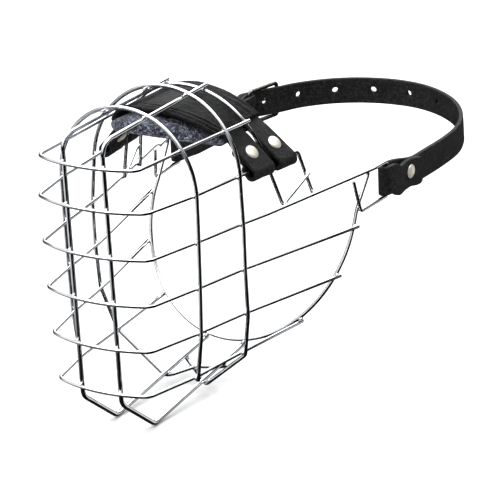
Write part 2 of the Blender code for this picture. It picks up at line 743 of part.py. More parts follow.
def build_long_strap(parent, materials):
    leather, steel = materials
    path, turn = long_strap_path()
    stations = strap_stations(path, STRAP_THICKNESS, STRAP_WIDTH, 6.0)
    strap = mesh_object("neck_strap", loft(strip_rings(stations)), parent, leather)
    prong_hole = path_length_to(path, turn) - PRONG_REACH
    for i in range(HOLE_COUNT + 1):
        back = FIRST_HOLE + HOLE_PITCH * (i - 1) if i else 0.0
        place, tangent = point_along(path, prong_hole - back)
        stretch = (1.75, 1.0, 1.0) if i == 0 else None
        rise = strap_lift(*place) + (HOLE_RISE if i else 0.0)
        hole = hole_bm(Vector((place.x, place.y, STRAP_Z + rise)), tangent, stretch)
        cut(strap, hole, f"strap_hole_{i}")
    rivet_z = STRAP_Z + CHEEK_RIVET_RISE[1]
    outer = (STRAP_HALF + STRAP_THICKNESS * 1.5 + GAP, CHEEK_RIVET_Y, rivet_z)
    inner = (STRAP_HALF - STRAP_THICKNESS / 2, CHEEK_RIVET_Y, rivet_z)
    build_rivet("cheek_rivet_right", inner, outer, strap, parent, steel)


def hole_bm(centre, tangent, stretch):
    """Cutter for a punched hole through the strap. stretch lengthens it along the strap."""
    bm = bmesh.new()
    radius = HOLE_DIAMETER / 2
    bmesh.ops.create_cone(bm, cap_ends=True, segments=12, radius1=radius, radius2=radius,
                          depth=STRAP_THICKNESS + 3.0)
    if stretch:
        bmesh.ops.scale(bm, vec=stretch, verts=bm.verts)
    along = Vector((tangent.x, tangent.y, 0))
    through = Vector((tangent.y, -tangent.x, 0))
    up = through.cross(along)
    frame = Matrix((along, up, through)).transposed().to_4x4()
    bmesh.ops.transform(bm, matrix=Matrix.Translation(centre) @ frame, verts=bm.verts)
    return bm


def buckle_strap_path():
    """From its front end round the left cheek bar, back to the buckle, round the heel bar and
    forward to its rear end."""
    path = cheek_fold(-1, BUCKLE_STRAP_LAYER, 268.5)
    heel_x, heel_y = HEEL
    path += [(-STRAP_HALF, y) for y in (230.0, 236.0, 242.0, 276.0, 287.0, heel_y - 12.0)]
    path += arc((heel_x, heel_y), -heel_x - STRAP_HALF, 0.0, math.pi, 10)
    path += [(heel_x - 1.5, heel_y - 6.5), (-(STRAP_HALF + BUCKLE_STRAP_LAYER), heel_y - 12.0),
             (-(STRAP_HALF + BUCKLE_STRAP_LAYER), 287.0), (-(STRAP_HALF + BUCKLE_STRAP_LAYER), 276.0),
             (-(STRAP_HALF + BUCKLE_STRAP_LAYER), 272.0)]
    return path


def build_buckle_strap(parent, materials):
    leather, steel = materials
    stations = strap_stations(buckle_strap_path(), BUCKLE_STRAP_THICKNESS, STRAP_WIDTH, 0.0)
    strap = mesh_object("buckle_strap", loft(strip_rings(stations)), parent, leather)
    slot = bmesh.new()
    bmesh.ops.create_cube(slot, size=1.0)
    bmesh.ops.scale(slot, vec=(16.0, 14.0, PRONG_SLOT), verts=slot.verts)
    bmesh.ops.translate(slot, vec=(HEEL[0], HEEL[1] + 0.5, BUCKLE_Z), verts=slot.verts)
    cut(strap, slot, "prong_slot")
    rivet_z = STRAP_Z + CHEEK_RIVET_RISE[-1]
    outer = (-(STRAP_HALF + BUCKLE_STRAP_LAYER + BUCKLE_STRAP_THICKNESS / 2), CHEEK_RIVET_Y, rivet_z)
    inner = (-(STRAP_HALF - BUCKLE_STRAP_THICKNESS / 2), CHEEK_RIVET_Y, rivet_z)
    build_rivet("cheek_rivet_left", inner, outer, strap, parent, steel)


def build_buckle_frame(parent, material):
    heel_x, heel_y = HEEL
    rear_x, rear_y = REAR_BAR
    high, low = BUCKLE_Z + BUCKLE_HALF_HEIGHT, BUCKLE_Z - BUCKLE_HALF_HEIGHT
    middle = ((heel_x + rear_x) / 2, (heel_y + rear_y) / 2)
    corners = [(*middle, high), (rear_x, rear_y, high), (rear_x, rear_y, low),
               (heel_x, heel_y, low), (heel_x, heel_y, high), (*middle, high)]
    path = rounded(corners, 2.6, step=math.radians(23))[:-1]
    add_wire("buckle_frame", path, BUCKLE_WIRE, parent, material, cyclic=True)


def prong_shank():
    """Shank of the tongue, laid out along the strap's run from heel to rear bar and outward of it."""
    strap, turn = long_strap_path()
    start, end = Vector(strap[turn]), Vector(strap[turn - 1])
    along = (end - start).normalized()
    out = Vector((-along.y, along.x))
    bar = Vector(REAR_BAR) - start
    bar_along, bar_out = bar.dot(along), bar.dot(out)
    rest = bar_out + (BUCKLE_WIRE + PRONG_WIRE) / 2 + GAP
    shape = [(PRONG_REACH - 1.6, -3.2), (PRONG_REACH, 0.0), (PRONG_REACH + 1.9, 3.1),
             (PRONG_REACH + 5.0, 4.6), (PRONG_REACH + 13.0, 5.5), (bar_along, rest),
             (bar_along + 3.5, rest - 0.3)]
    return [tuple(start + along * a + out * b) for a, b in shape]


def build_prong(parent, material):
    """Tongue: an eye round the heel bar, up through the strap and down onto the rear bar."""
    heel_x, heel_y = HEEL
    eye = (BUCKLE_WIRE + PRONG_WIRE) / 2 + GAP
    ring = arc((heel_x, heel_y), eye, math.radians(-230), math.radians(80), 12)
    path = [(x, y, BUCKLE_Z) for x, y in ring + prong_shank()]
    add_wire("buckle_prong", path, PRONG_WIRE, parent, material)


def build_keeper(parent, material):
    """Leather loop that holds the strap's loose end."""
    clearance = 0.35
    inside_x = -(STRAP_HALF - BUCKLE_STRAP_THICKNESS / 2 - clearance)
    lie = STRAP_HALF + BUCKLE_STRAP_LAYER + BUCKLE_STRAP_THICKNESS / 2 + GAP + STRAP_THICKNESS
    outside_x = -(lie + clearance)
    half_height = STRAP_WIDTH / 2 + clearance
    middle_x = (inside_x + outside_x) / 2
    half_x = abs(outside_x - inside_x) / 2
    rings = []
    steps = 24
    for i in range(steps):
        angle = 2 * math.pi * (i + 0.5) / steps
        c, s = math.cos(angle), math.sin(angle)
        power = 0.32
        x = math.copysign(abs(c) ** power, c)
        z = math.copysign(abs(s) ** power, s)
        inner = (middle_x + (half_x + 0.45) * x, STRAP_Z + (half_height + 0.45) * z)
        outer_half = (half_x + 0.45 + KEEPER_THICKNESS, half_height + 0.45 + KEEPER_THICKNESS)
        outer = (middle_x + outer_half[0] * x, STRAP_Z + outer_half[1] * z)
        front, rear = KEEPER_Y - KEEPER_WIDTH / 2, KEEPER_Y + KEEPER_WIDTH / 2
        rings.append([(inner[0], front, inner[1]), (outer[0], front, outer[1]),
                      (outer[0], rear, outer[1]), (inner[0], rear, inner[1])])
    mesh_object("strap_keeper", loft(rings, closed=True), parent, material)


# ---------------------------------------------------------------- assembly

def main():
    clear_scene()
    wire = principled("chromed_wire", (0.78, 0.79, 0.80), 0.12, 1.0)
    leather = principled("black_leather", (0.018, 0.018, 0.019), 0.5)
    plate_leather = principled("saddle_leather", (0.03, 0.03, 0.032), 0.42)
    felt = principled("grey_felt", (0.17, 0.18, 0.22), 0.95)
    nickel = principled("satin_nickel", (0.78, 0.74, 0.68), 0.32, 1.0)
    buckle_steel = principled("buckle_steel", (0.72, 0.70, 0.66), 0.2, 1.0)

    basket = axis_empty("basket_axis", ORIGIN)
    strap_axis = axis_empty("neck_strap_axis", ORIGIN, basket)
    frame_axis = axis_empty("buckle_axis", (HEEL[0], HEEL[1], BUCKLE_Z), strap_axis)
    prong_axis = axis_empty("prong_axis", (HEEL[0], HEEL[1], BUCKLE_Z), frame_axis)
    keeper_axis = axis_empty("keeper_axis", (-STRAP_HALF, KEEPER_Y, STRAP_Z), strap_axis)

    for index in range(6):
        build_row(index, basket, wire)
    build_centre_wire("centre_wire_right", 1, basket, wire)
    build_centre_wire("centre_wire_left", -1, basket, wire)
    build_hoop_front(basket, wire)
    build_hoop_middle(basket, wire)
    build_hoop_rear(basket, wire)
    build_rear_rim(basket, wire)

    build_saddle_layer("saddle_felt", saddle_point, FELT_RADII, FELT_HALF_ANGLE,
                       (felt_front_y, felt_rear_y), basket, felt)
    build_saddle_layer("saddle_plate", plate_point, PLATE_RADII, PLATE_HALF_ANGLE,
                       (plate_front_y, plate_rear_y), basket, plate_leather)
    build_edge_roll(basket, plate_leather)
    for side, word in ((1, "right"), (-1, "left")):
        build_tab(f"saddle_tab_front_{word}", side, 101.2, 104.5, 19.2, basket, (leather, nickel))
        build_tab(f"saddle_tab_rear_{word}", side, 123.3, 127.7, 16.3, basket, (leather, nickel))

    build_long_strap(strap_axis, (leather, nickel))
    build_buckle_strap(strap_axis, (leather, nickel))
    build_buckle_frame(frame_axis, buckle_steel)
    build_prong(prong_axis, buckle_steel)
    build_keeper(keeper_axis, leather)


main()
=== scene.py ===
"""Looks of the wire basket muzzle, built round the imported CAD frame.

Lengths are millimetres of the same pattern that the CAD uses: X across the snout, Y from the nose
back towards the neck, Z up, with Y = 0 at the front of the two centre wires. place() turns a pattern
point into the frame's metres.
"""
import math

import bmesh
import bpy
from mathutils import Matrix, Vector, kdtree, noise


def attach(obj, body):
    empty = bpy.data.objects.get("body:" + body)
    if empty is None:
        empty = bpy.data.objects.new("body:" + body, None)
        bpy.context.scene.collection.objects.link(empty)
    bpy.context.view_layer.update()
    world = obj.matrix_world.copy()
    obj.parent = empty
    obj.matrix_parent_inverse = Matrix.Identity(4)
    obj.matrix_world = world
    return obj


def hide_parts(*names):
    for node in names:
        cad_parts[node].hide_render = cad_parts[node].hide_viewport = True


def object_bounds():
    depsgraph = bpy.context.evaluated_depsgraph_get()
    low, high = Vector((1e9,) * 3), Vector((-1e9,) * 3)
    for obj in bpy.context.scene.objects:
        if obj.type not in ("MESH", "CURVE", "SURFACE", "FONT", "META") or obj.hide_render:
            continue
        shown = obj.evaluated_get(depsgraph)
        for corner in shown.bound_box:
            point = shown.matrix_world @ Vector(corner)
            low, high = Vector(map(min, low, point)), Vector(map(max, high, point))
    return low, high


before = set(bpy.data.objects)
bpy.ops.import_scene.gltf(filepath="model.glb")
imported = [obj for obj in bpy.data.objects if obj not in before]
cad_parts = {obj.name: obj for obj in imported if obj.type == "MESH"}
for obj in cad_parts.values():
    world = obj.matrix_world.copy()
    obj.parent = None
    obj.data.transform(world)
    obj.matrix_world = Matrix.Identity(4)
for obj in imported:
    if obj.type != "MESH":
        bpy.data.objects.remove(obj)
cad_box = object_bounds()

MM = 0.001
ORIGIN = Vector((0.0, 219.5, 120.0))

# Wire
ROW_WIRE = 2.4
HOOP_WIRE = 2.6
CENTRE_WIRE = 3.0
GAP = 0.3
WELD_REACH = 0.75
WELDS_APART = 5.0

# Rows
ROW_PITCH = 30.0
ROW_LOWEST_Z = 40.0
ROW_TOP_Z = 187.0
ROW_BOW_RADIUS = 85.0
ROW_CORNER_RADIUS = 7.5
ROW_CORNER_HALF = (36.0, 39.5, 39.5, 38.5, 36.5, 33.8)
ROW_OVERHANG = 1.5
ROW_THREE_BEND_Y = 105.0
ROW_TWO_END = (60.0, 144.0)
RISER_FOOT_Y = 150.0
RISER_FOOT_Z = 129.9
ROW_THREE_RISE = 3.4
ROW_THREE_END = (81.8, 205.0)
BAR_ARM_MIDDLE = (80.3, 187.0, 108.9)

# Centre wires
CENTRE_HALF = 14.5
TOP_FRONT = (-3.0, 202.4)
TOP_REAR = (111.5, 207.2)
CHIN_FRONT = (1.2, 32.2)
BASE_FRONT = (34.7, 5.6)
BASE_REAR_Y = 143.0
BASE_SLOPE = math.radians(7.7)

# Hoops, with their arches as (radius, height of the centre)
HOOP_FRONT_ARCH = (50.5, 159.3)
HOOP_FRONT_Y = 41.5
HOOP_FRONT_LEG = [(50.4, 140.0), (49.7, 100.0), (48.7, 69.0), (44.8, 38.0)]
HOOP_MIDDLE_ARCH = (55.2, 156.0)
HOOP_MIDDLE_LEG = [(57.3, 128.0), (57.2, 100.0), (56.6, 69.0), (49.4, 38.5)]
HOOP_REAR_ARCH = (52.9, 153.2)
HOOP_REAR_TOP_Y = 108.5
HOOP_REAR_FOOT_Y = 122.7
HOOP_REAR_BRACE_Z = 145.5
HOOP_REAR_FLARE = math.radians(15.3)

# Rear rim and cheek loops
RIM_HALF_WIDTH = 78.0
RIM_DEPTH = 78.4
RIM_SPRING = (181.0, 100.0)
RIM_LEAN = 0.504
RIM_ARM_MIDDLE = (77.4, 187.0, 110.5)
RIM_HOOK_Y = (203.0, 186.0)
BAR_X = 82.0
BAR_Y = 219.5
BAR_TOP_Z = 133.4
BAR_BOTTOM_Z = 109.9
STRAP_Z = 120.0

# Nose saddle
SADDLE_AXIS_Z = 152.6
FELT_RADII = (39.6, 46.2)
FELT_HALF_ANGLE = math.radians(57)
TABS = (("front", 101.2, 104.5, 19.2), ("rear", 123.3, 127.7, 16.3))
TAB_RADIUS = 47.8
TAB_THICKNESS = 2.6
PLATE_RADII = (49.5, 51.3)
PLATE_HALF_ANGLE = math.radians(51)
PLATE_STRAIGHT_FROM = math.radians(43.5)
EDGE_ROLL = 3.0
TAB_LOOP_RADIUS = 3.4
TAB_LOOP_SLACK = 2.0
TAB_RIVET_UP = 9.8
TAB_END_UP = 18.5
TAB_FLAT_UNDER_PLATE = 10.0

# Neck strap and buckle
STRAP_WIDTH = 19.5
STRAP_THICKNESS = 3.2
STRAP_HALF = 78.9
STRAP_BACK_Y = 312.0
STRAP_LEAN = math.radians(5)
STRAP_HANG = 5.6
FOLD_LIFT = 1.5
NECK_LIFT = 1.8
RING_END = math.radians(158)
TAB_END_Y = 266.0
CHEEK_RIVET_Y = 248.0
CHEEK_RIVET_RISE = {1: -2.0, -1: 0.0}
HOLE_DIAMETER = 4.4
HOLE_PITCH = 28.6
FIRST_HOLE = 10.0
HOLE_RISE = 1.0
HOLE_COUNT = 6
BUCKLE_STRAP_THICKNESS = 2.8
BUCKLE_STRAP_LAYER = 3.1
BUCKLE_WIRE = 3.0
BUCKLE_HALF_HEIGHT = 11.8
HEEL = (-82.1, 311.5)
REAR_BAR = (-77.3, 341.4)
HEEL_WRAP = 6.7
BUCKLE_Z = STRAP_Z + NECK_LIFT
PRONG_REACH = 7.0
PRONG_WIRE = 2.0
PRONG_SLOT = 4.0
STRAP_TIP_Y = 256.0
KEEPER_Y = 268.0
KEEPER_WIDTH = 8.0
KEEPER_THICKNESS = 2.0

# Rivets
RIVET_HEAD_RADIUS = 4.7
RIVET_HEAD_HEIGHT = 1.9
RIVET_POST_RADIUS = 1.5
BURR_RADIUS = 4.0
BURR_THICKNESS = 1.0

BEND_STEP = math.radians(7)
SIDES = ((1, "right"), (-1, "left"))
ROW_ON_HOOP = (ROW_WIRE + HOOP_WIRE) / 2 + GAP
ROW_ON_CENTRE = (ROW_WIRE + CENTRE_WIRE) / 2 + GAP
HOOP_ON_CENTRE = (HOOP_WIRE + CENTRE_WIRE) / 2 + GAP
ROW_ON_ROW = ROW_WIRE + GAP


def place(point):
    """Frame position, in metres, of a pattern point."""
    return (Vector(point) - ORIGIN) * MM


def placed(point, axes):
    """Matrix that stands a thing at a point, with its own axes along those directions."""
    return Matrix.Translation(point) @ Matrix(axes).transposed().to_4x4()


def between(a, b, t):
    return a + (b - a) * t


# ---- camera, floor and light

CAMERA_PLACE = (0.85497, -1.37173, 0.54270)
CAMERA_RIGHT = (0.84805, 0.52853, -0.03833)
CAMERA_UP = (-0.15486, 0.31635, 0.93592)
CAMERA_LENS = 181.9
SENSOR = 36.0


def add_object(name, data):
    obj = bpy.data.objects.new(name, data)
    bpy.context.collection.objects.link(obj)
    return obj


def build_camera():
    data = bpy.data.cameras.new("camera")
    data.sensor_width = SENSOR
    data.lens = CAMERA_LENS
    data.clip_end = 20.0
    camera = add_object("camera", data)
    right, up = Vector(CAMERA_RIGHT), Vector(CAMERA_UP)
    camera.matrix_world = placed(CAMERA_PLACE, (right, up, right.cross(up)))
    bpy.context.scene.camera = camera


def area_light(name, size, power, location, target):
    data = bpy.data.lights.new(name, "AREA")
    data.shape = "RECTANGLE"
    data.size, data.size_y = size
    data.energy = power
    light = add_object(name, data)
    light.location = location
    light.rotation_euler = (Vector(target) - Vector(location)).to_track_quat("-Z", "Y").to_euler()


class Nodes:
    """Short calls for building a node tree."""

    def __init__(self, tree):
        self.tree = tree

    def add(self, kind, **settings):
        node = self.tree.nodes.new(kind)
        for name, value in settings.items():
            setattr(node, name, value)
        return node

    def feed(self, socket, value):
        if isinstance(value, bpy.types.NodeSocket):
            self.tree.links.new(value, socket)
        else:
            socket.default_value = value

    def put(self, node, values):
        """Sets or links a node's inputs by name."""
        for name, value in values.items():
            self.feed(node.inputs[name], value)
        return node

    def math(self, operation, a, b):
        node = self.add("ShaderNodeMath", operation=operation)
        self.feed(node.inputs[0], a)
        self.feed(node.inputs[1], b)
        return node.outputs[0]

    def mix(self, factor, a, b):
        node = self.add("ShaderNodeMix", data_type="RGBA")
        self.feed(node.inputs[0], factor)
        self.feed(node.inputs[6], a)
        self.feed(node.inputs[7], b)
        return node.outputs[2]

    def ramp(self, value, stops):
        node = self.add("ShaderNodeValToRGB")
        elements = node.color_ramp.elements
        while len(elements) < len(stops):
            elements.new(0.5)
        for element, (position, level) in zip(elements, stops):
            element.position = position
            colour = level if isinstance(level, tuple) else (level, level, level)
            element.color = (*colour, 1.0)
        self.feed(node.inputs[0], value)
        return node.outputs[0]

    def height(self, vector):
        return self.put(self.add("ShaderNodeSeparateXYZ"), {"Vector": vector}).outputs["Z"]

    def scale(self, value, low, high, to_low, to_high):
        node = self.add("ShaderNodeMapRange")
        for socket, number in zip(node.inputs[:5], (value, low, high, to_low, to_high)):
            self.feed(socket, number)
        return node.outputs[0]

    def fade(self, value, low, high, most, a, b):
        """Colour a, turning into at most that much of b as the value goes from low to high."""
        return self.mix(self.scale(value, low, high, 0.0, most), a, b)

    def noise(self, vector, scale, detail=2.0, roughness=0.5):
        values = {"Vector": vector, "Scale": scale, "Detail": detail, "Roughness": roughness}
        return self.put(self.add("ShaderNodeTexNoise"), values).outputs["Fac"]

    def voronoi(self, vector, scale, feature="F1"):
        node = self.add("ShaderNodeTexVoronoi", feature=feature)
        return self.put(node, {"Vector": vector, "Scale": scale}).outputs["Distance"]

    def bump(self, height, distance, strength=1.0, normal=None):
        values = {"Distance": distance, "Strength": strength, "Height": height}
        if normal:
            values["Normal"] = normal
        return self.put(self.add("ShaderNodeBump"), values).outputs[0]


# Dark cards round the bright room: direction, cosine where each fades in and out, level
DARK_CARDS = (
    ((0.93, -0.22, -0.29), 0.48, 0.58, 0.004),
    ((0.44, 0.85, 0.26), 0.930, 0.960, 0.004),
    ((0.80, 0.59, 0.14), 0.950, 0.972, 0.02),
    ((-0.50, -0.84, 0.04), 0.935, 0.955, 0.006),
    ((0.04, -0.97, -0.10), 0.915, 0.945, 0.004),
    ((-0.92, 0.10, 0.10), 0.88, 0.93, 0.03),
    ((-0.51, 0.82, -0.29), 0.70, 0.78, 0.008),
)


def build_world():
    """Bright room, dark underneath, with dark cards that the chrome mirrors as black lines."""
    world = bpy.data.worlds.new("studio")
    bpy.context.scene.world = world
    world.use_nodes = True
    n = Nodes(world.node_tree)
    background = world.node_tree.nodes["Background"]
    direction = n.add("ShaderNodeTexCoord").outputs["Generated"]

    def lobe(way, low, high):
        """1 inside a soft cone about a direction, 0 outside it."""
        dot = n.add("ShaderNodeVectorMath", operation="DOT_PRODUCT")
        n.feed(dot.inputs[0], direction)
        n.feed(dot.inputs[1], Vector(way).normalized())
        return n.scale(dot.outputs["Value"], low, high, 0.0, 1.0)

    room = n.ramp(n.scale(n.height(direction), -1.0, 1.0, 0.0, 1.0),
                  ((0.0, 0.01), (0.27, 0.01), (0.31, 0.75), (0.52, 0.90), (1.0, 1.0)))
    for way, low, high, level in DARK_CARDS:
        room = n.mix(lobe(way, low, high), room, (level, level, level * 1.03, 1.0))
    seen = n.add("ShaderNodeLightPath").outputs["Is Camera Ray"]
    n.put(background, {"Color": n.mix(seen, room, (1, 1, 1, 1)), "Strength": 1.0})


def build_floor():
    z = cad_box[0][2] - 0.0004
    mesh = bpy.data.meshes.new("floor")
    half = 6.0
    mesh.from_pydata([(-half, -half, z), (half, -half, z), (half, half, z), (-half, half, z)], [],
                     [(0, 1, 2, 3)])
    floor = add_object("floor", mesh)
    material, n, shader, where = new_material("floor_paper")
    tone = n.mix(n.noise(where, 900.0, 3.0), (0.86, 0.86, 0.86, 1), (0.9, 0.9, 0.9, 1))
    n.put(shader, {"Base Color": tone, "Roughness": 0.95, "Specular IOR Level": 0.0})
    mesh.materials.append(material)
    floor.visible_glossy = False


def build_stage():
    build_camera()
    build_world()
    build_floor()
    area_light("key", (1.6, 1.6), 34.0, (-0.9, -1.2, 1.9), (0, -0.05, -0.05))
    area_light("top", (2.2, 2.2), 40.0, (0.3, 0.4, 2.1), (0, 0, -0.1))
    area_light("back", (1.6, 1.0), 16.0, (-0.8, 1.8, 1.0), (0, 0, 0))
    bpy.context.scene.view_settings.view_transform = "Standard"


# ---- mesh helpers

def mesh_object(name, bm):
    """Object in the frame's metres from a bmesh in pattern millimetres, which it uses up."""
    for vert in bm.verts:
        vert.co = place(vert.co)
    mesh = bpy.data.meshes.new(name)
    bm.to_mesh(mesh)
    bm.free()
    return add_object(name, mesh)


def finish_mesh(name, bm, material, body, nodes, smooth_angle=50):
    """Smooth-shaded object with a material, riding a body and standing for CAD nodes."""
    bmesh.ops.recalc_face_normals(bm, faces=bm.faces)
    obj = mesh_object(name, bm)
    mesh = obj.data
    mesh.shade_smooth()
    if smooth_angle:
        mesh.set_sharp_from_angle(angle=math.radians(smooth_angle))
    mesh.materials.append(material)
    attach(obj, body)
    if nodes:
        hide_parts(*nodes)
    return obj


def loft(rings, closed=False):
    """Walls between rings of equal length, with end caps unless the loft closes on itself."""
    bm = bmesh.new()
    loops = [[bm.verts.new(point) for point in ring] for ring in rings]
    if closed:
        loops.append(loops[0])
    for first, second in zip(loops, loops[1:]):
        for i in range(len(first)):
            j = (i + 1) % len(first)
            bm.faces.new((first[i], first[j], second[j], second[i]))
    if not closed:
        bm.faces.new(loops[0])
        bm.faces.new(list(reversed(loops[-1])))
    return bm


def circle(centre, side, other, radius, count):
    """Ring of points in the plane of two directions."""
    angles = [2 * math.pi * i / count for i in range(count)]
    return [centre + side * (radius * math.cos(a)) + other * (radius * math.sin(a)) for a in angles]


def frames_along(path, cyclic=False):
    """Tangent and a turning-free side vector at each point of a path."""
    count = len(path)
    tangents = []
    for i in range(count):
        before = path[(i - 1) % count] if cyclic or i > 0 else path[0]
        after = path[(i + 1) % count] if cyclic or i < count - 1 else path[-1]
        tangents.append((after - before).normalized())
    side = tangents[0].orthogonal().normalized()
    sides = [side]
    for a, b in zip(tangents, tangents[1:]):
        side = a.rotation_difference(b) @ side
        side = (side - b * side.dot(b)).normalized()
        sides.append(side)
    return tangents, sides


def tube(path, radius, count, cyclic=False):
    """Round wire along a path, with its cut ends slightly rounded over."""
    path = [Vector(p) for p in path]
    tangents, across = frames_along(path, cyclic)

    def ring(i, share=1.0, shift=0.0):
        centre = path[i] + tangents[i] * (shift * radius)
        return circle(centre, across[i], tangents[i].cross(across[i]), radius * share, count)

    rings = [ring(i) for i in range(len(path))]
    if cyclic:
        return loft(rings, closed=True)
    crown = ((0.34, 1.0), (0.12, 0.93), (0.0, 0.74))
    first = [ring(0, share, back) for back, share in reversed(crown)]
    last = [ring(len(path) - 1, share, -back) for back, share in crown]
    return loft(first + rings[1:-1] + last)


def rounded(points, radii):
    """Polyline with its inner corners turned on arcs. radii is one number, or one a corner."""
    points = [Vector(p) for p in points]
    if not isinstance(radii, (list, tuple)):
        radii = [radii] * (len(points) - 2)
    path = [points[0]]
    for before, corner, after, radius in zip(points, points[1:], points[2:], radii):
        way_in = (corner - before).normalized()
        way_out = (after - corner).normalized()
        turn = way_in.angle(way_out)
        reach = radius * math.tan(turn / 2)
        reach = min(reach, 0.48 * (corner - before).length, 0.48 * (after - corner).length)
        if reach < 0.05:
            path.append(corner)
            continue
        count = max(2, math.ceil(turn / BEND_STEP))
        centre = corner + (way_out - way_in).normalized() * (reach / math.sin(turn / 2))
        axis = way_in.cross(way_out).normalized()
        start = corner - way_in * reach - centre
        for i in range(count + 1):
            path.append(centre + Matrix.Rotation(turn * i / count, 3, axis) @ start)
    path.append(points[-1])
    return path


def arc(centre, radius, start, stop, count):
    """Points of an arc in a plane, with angles measured from the first axis."""
    angles = [start + (stop - start) * i / count for i in range(count + 1)]
    return [(centre[0] + radius * math.cos(a), centre[1] + radius * math.sin(a)) for a in angles]


def both_sides(half):
    """Path over the top or round the front: the mirrored half reversed, then the half."""
    left = [(-p[0], p[1], p[2]) for p in half[1:]]
    return list(reversed(left)) + list(half)


def catmull_rom(ends, spacing, size=3):
    """Curve through all but the first and last points, sampled about every spacing, which is
    measured on the first size numbers of each point."""
    def apart(a, b):
        return max(1e-6, Vector((b - a)[:size]).length)

    path = []
    for p0, p1, p2, p3 in zip(ends, ends[1:], ends[2:], ends[3:]):
        reach = apart(p1, p2)
        slope_1 = (p2 - p0) * (reach / (apart(p0, p1) + reach))
        slope_2 = (p3 - p1) * (reach / (apart(p2, p3) + reach))
        count = max(1, round(reach / spacing))
        for i in range(count):
            t = i / count
            t2, t3 = t * t, t * t * t
            path.append(p1 * (2 * t3 - 3 * t2 + 1) + slope_1 * (t3 - 2 * t2 + t)
                        + p2 * (3 * t2 - 2 * t3) + slope_2 * (t3 - t2))
    path.append(ends[-2])
    return path


def spline_through(points, spacing):
    """Smooth curve through flat or solid points, whose ends run straight on."""
    points = [Vector(p) for p in points]
    ends = [points[0] * 2 - points[1]] + points + [points[-1] * 2 - points[-2]]
    return catmull_rom(ends, spacing)


# ---- wire routes

def base_z(y):
    """Height of the centre wires' bottom run."""
    return BASE_FRONT[1] + (y - BASE_FRONT[0]) * math.tan(BASE_SLOPE)


def width_at(line, place_along):
    """First number of a bent line's points where the second is that, or the line's own first."""
    for (x0, y0), (x1, y1) in zip(line, line[1:]):
        if min(y0, y1) <= place_along <= max(y0, y1):
            return between(x0, x1, (place_along - y0) / (y1 - y0))
    return line[0][0]


def hoop_middle_y(z):
    """The middle hoop leans back a little at its top and at its chin."""
    if z > 100.0:
        return between(81.5, 86.8, max(0.0, (z - 130.0) / 80.0))
    return between(81.5, 89.0, ((100.0 - z) / 60.0) ** 2)


def hoop_rear_y(z):
    foot_z = row_z(2)
    top = sum(HOOP_REAR_ARCH)
    return between(HOOP_REAR_FOOT_Y, HOOP_REAR_TOP_Y, (z - foot_z) / (top - foot_z))


def rim_y(z):
    return RIM_SPRING[0] + (z - RIM_SPRING[1]) * RIM_LEAN


def arch(shape, sweep):
    """Half an arch from its top, as (x, z)."""
    radius, centre_z = shape
    return [(x, z) for z, x in arc((centre_z, 0.0), radius, 0.0, sweep, 30)]


def hoop_front_path():
    half = arch(HOOP_FRONT_ARCH, math.pi / 2)
    half = [(x, HOOP_FRONT_Y, z) for x, z in half + HOOP_FRONT_LEG]
    leg = rounded(half[-5:], [90.0, 200.0, 12.0])
    return both_sides(half[:-5] + leg)


def hoop_middle_path():
    half = arch(HOOP_MIDDLE_ARCH, math.pi / 2)
    half = [(x, hoop_middle_y(z), z) for x, z in half + HOOP_MIDDLE_LEG]
    near_y, far_y = 93.0, 118.0
    ends = []
    for side, rise in ((1, 0.0), (-1, HOOP_WIRE + GAP)):
        leg = [(side * x, y, z) for x, y, z in half]
        cross = leg[-4:]
        for share in (1.0, 0.75, 0.0, -0.75, -1.0):
            y = between(near_y, far_y, (1 - share) / 2)
            z = base_z(y) - HOOP_ON_CENTRE + (rise if share == 0.0 else 0.0)
            cross.append((side * share * (CENTRE_HALF + 1.5), y, z))
        tail = rounded(cross, [200.0, 14.0, 5.0, 5.0, 8.0, 12.0, 8.0])
        ends.append(leg[:-4] + tail)
    return list(reversed(ends[1][1:])) + ends[0]


def hoop_rear_path():
    sweep = math.pi / 2 - HOOP_REAR_FLARE
    half = arch(HOOP_REAR_ARCH, sweep)
    half = [(x, hoop_rear_y(z), z) for x, z in half]
    foot = (row_half_width(2, HOOP_REAR_FOOT_Y) - ROW_ON_ROW, HOOP_REAR_FOOT_Y,
            row_height(2, HOOP_REAR_FOOT_Y))
    riser = riser_point(HOOP_REAR_BRACE_Z)
    brace_end = (riser[0] + ROW_ON_ROW, riser[1] + 0.6, HOOP_REAR_BRACE_Z)
    return both_sides(half[:-1] + rounded([half[-1], foot, brace_end], 1.6))


def rear_rim_path():
    half = []
    steps = 36
    for i in range(steps + 1):
        angle = math.pi / 2 * i / steps
        z = RIM_SPRING[1] - RIM_DEPTH * math.cos(angle)
        half.append((RIM_HALF_WIDTH * math.sin(angle), rim_y(z), z))
    arm_top, hook_end = [(row_half_width(2, y) - ROW_ON_ROW, y, row_height(2, y) - 0.4)
                         for y in RIM_HOOK_Y]
    arm = rounded([half[-1], RIM_ARM_MIDDLE, arm_top, hook_end], [30.0, 2.5])
    return both_sides(half[:-1] + arm)


def row_z(index):
    """Height of a row. Index 0 is the top row."""
    return ROW_TOP_Z if index == 0 else ROW_LOWEST_Z + ROW_PITCH * (5 - index)


def row_height(index, y):
    """As row_z, but row three's rear ends rise towards the cheek bars."""
    rise = max(0.0, y - ROW_THREE_BEND_Y) / (ROW_THREE_END[1] - ROW_THREE_BEND_Y) * ROW_THREE_RISE
    return row_z(index) + (rise if index == 2 else 0.0)


def centre_front_y(z):
    """Front of the centre wires at a height: they lean back a little towards the chin."""
    share = (TOP_FRONT[1] - z) / (TOP_FRONT[1] - CHIN_FRONT[1])
    return between(TOP_FRONT[0], CHIN_FRONT[0], share)


def row_bow_y(index, x):
    """Front bow of a row, which lies just in front of the centre wires."""
    touch = centre_front_y(row_z(index)) - ROW_ON_CENTRE - 0.15
    return touch + (x ** 2 - CENTRE_HALF ** 2) / (2 * ROW_BOW_RADIUS)


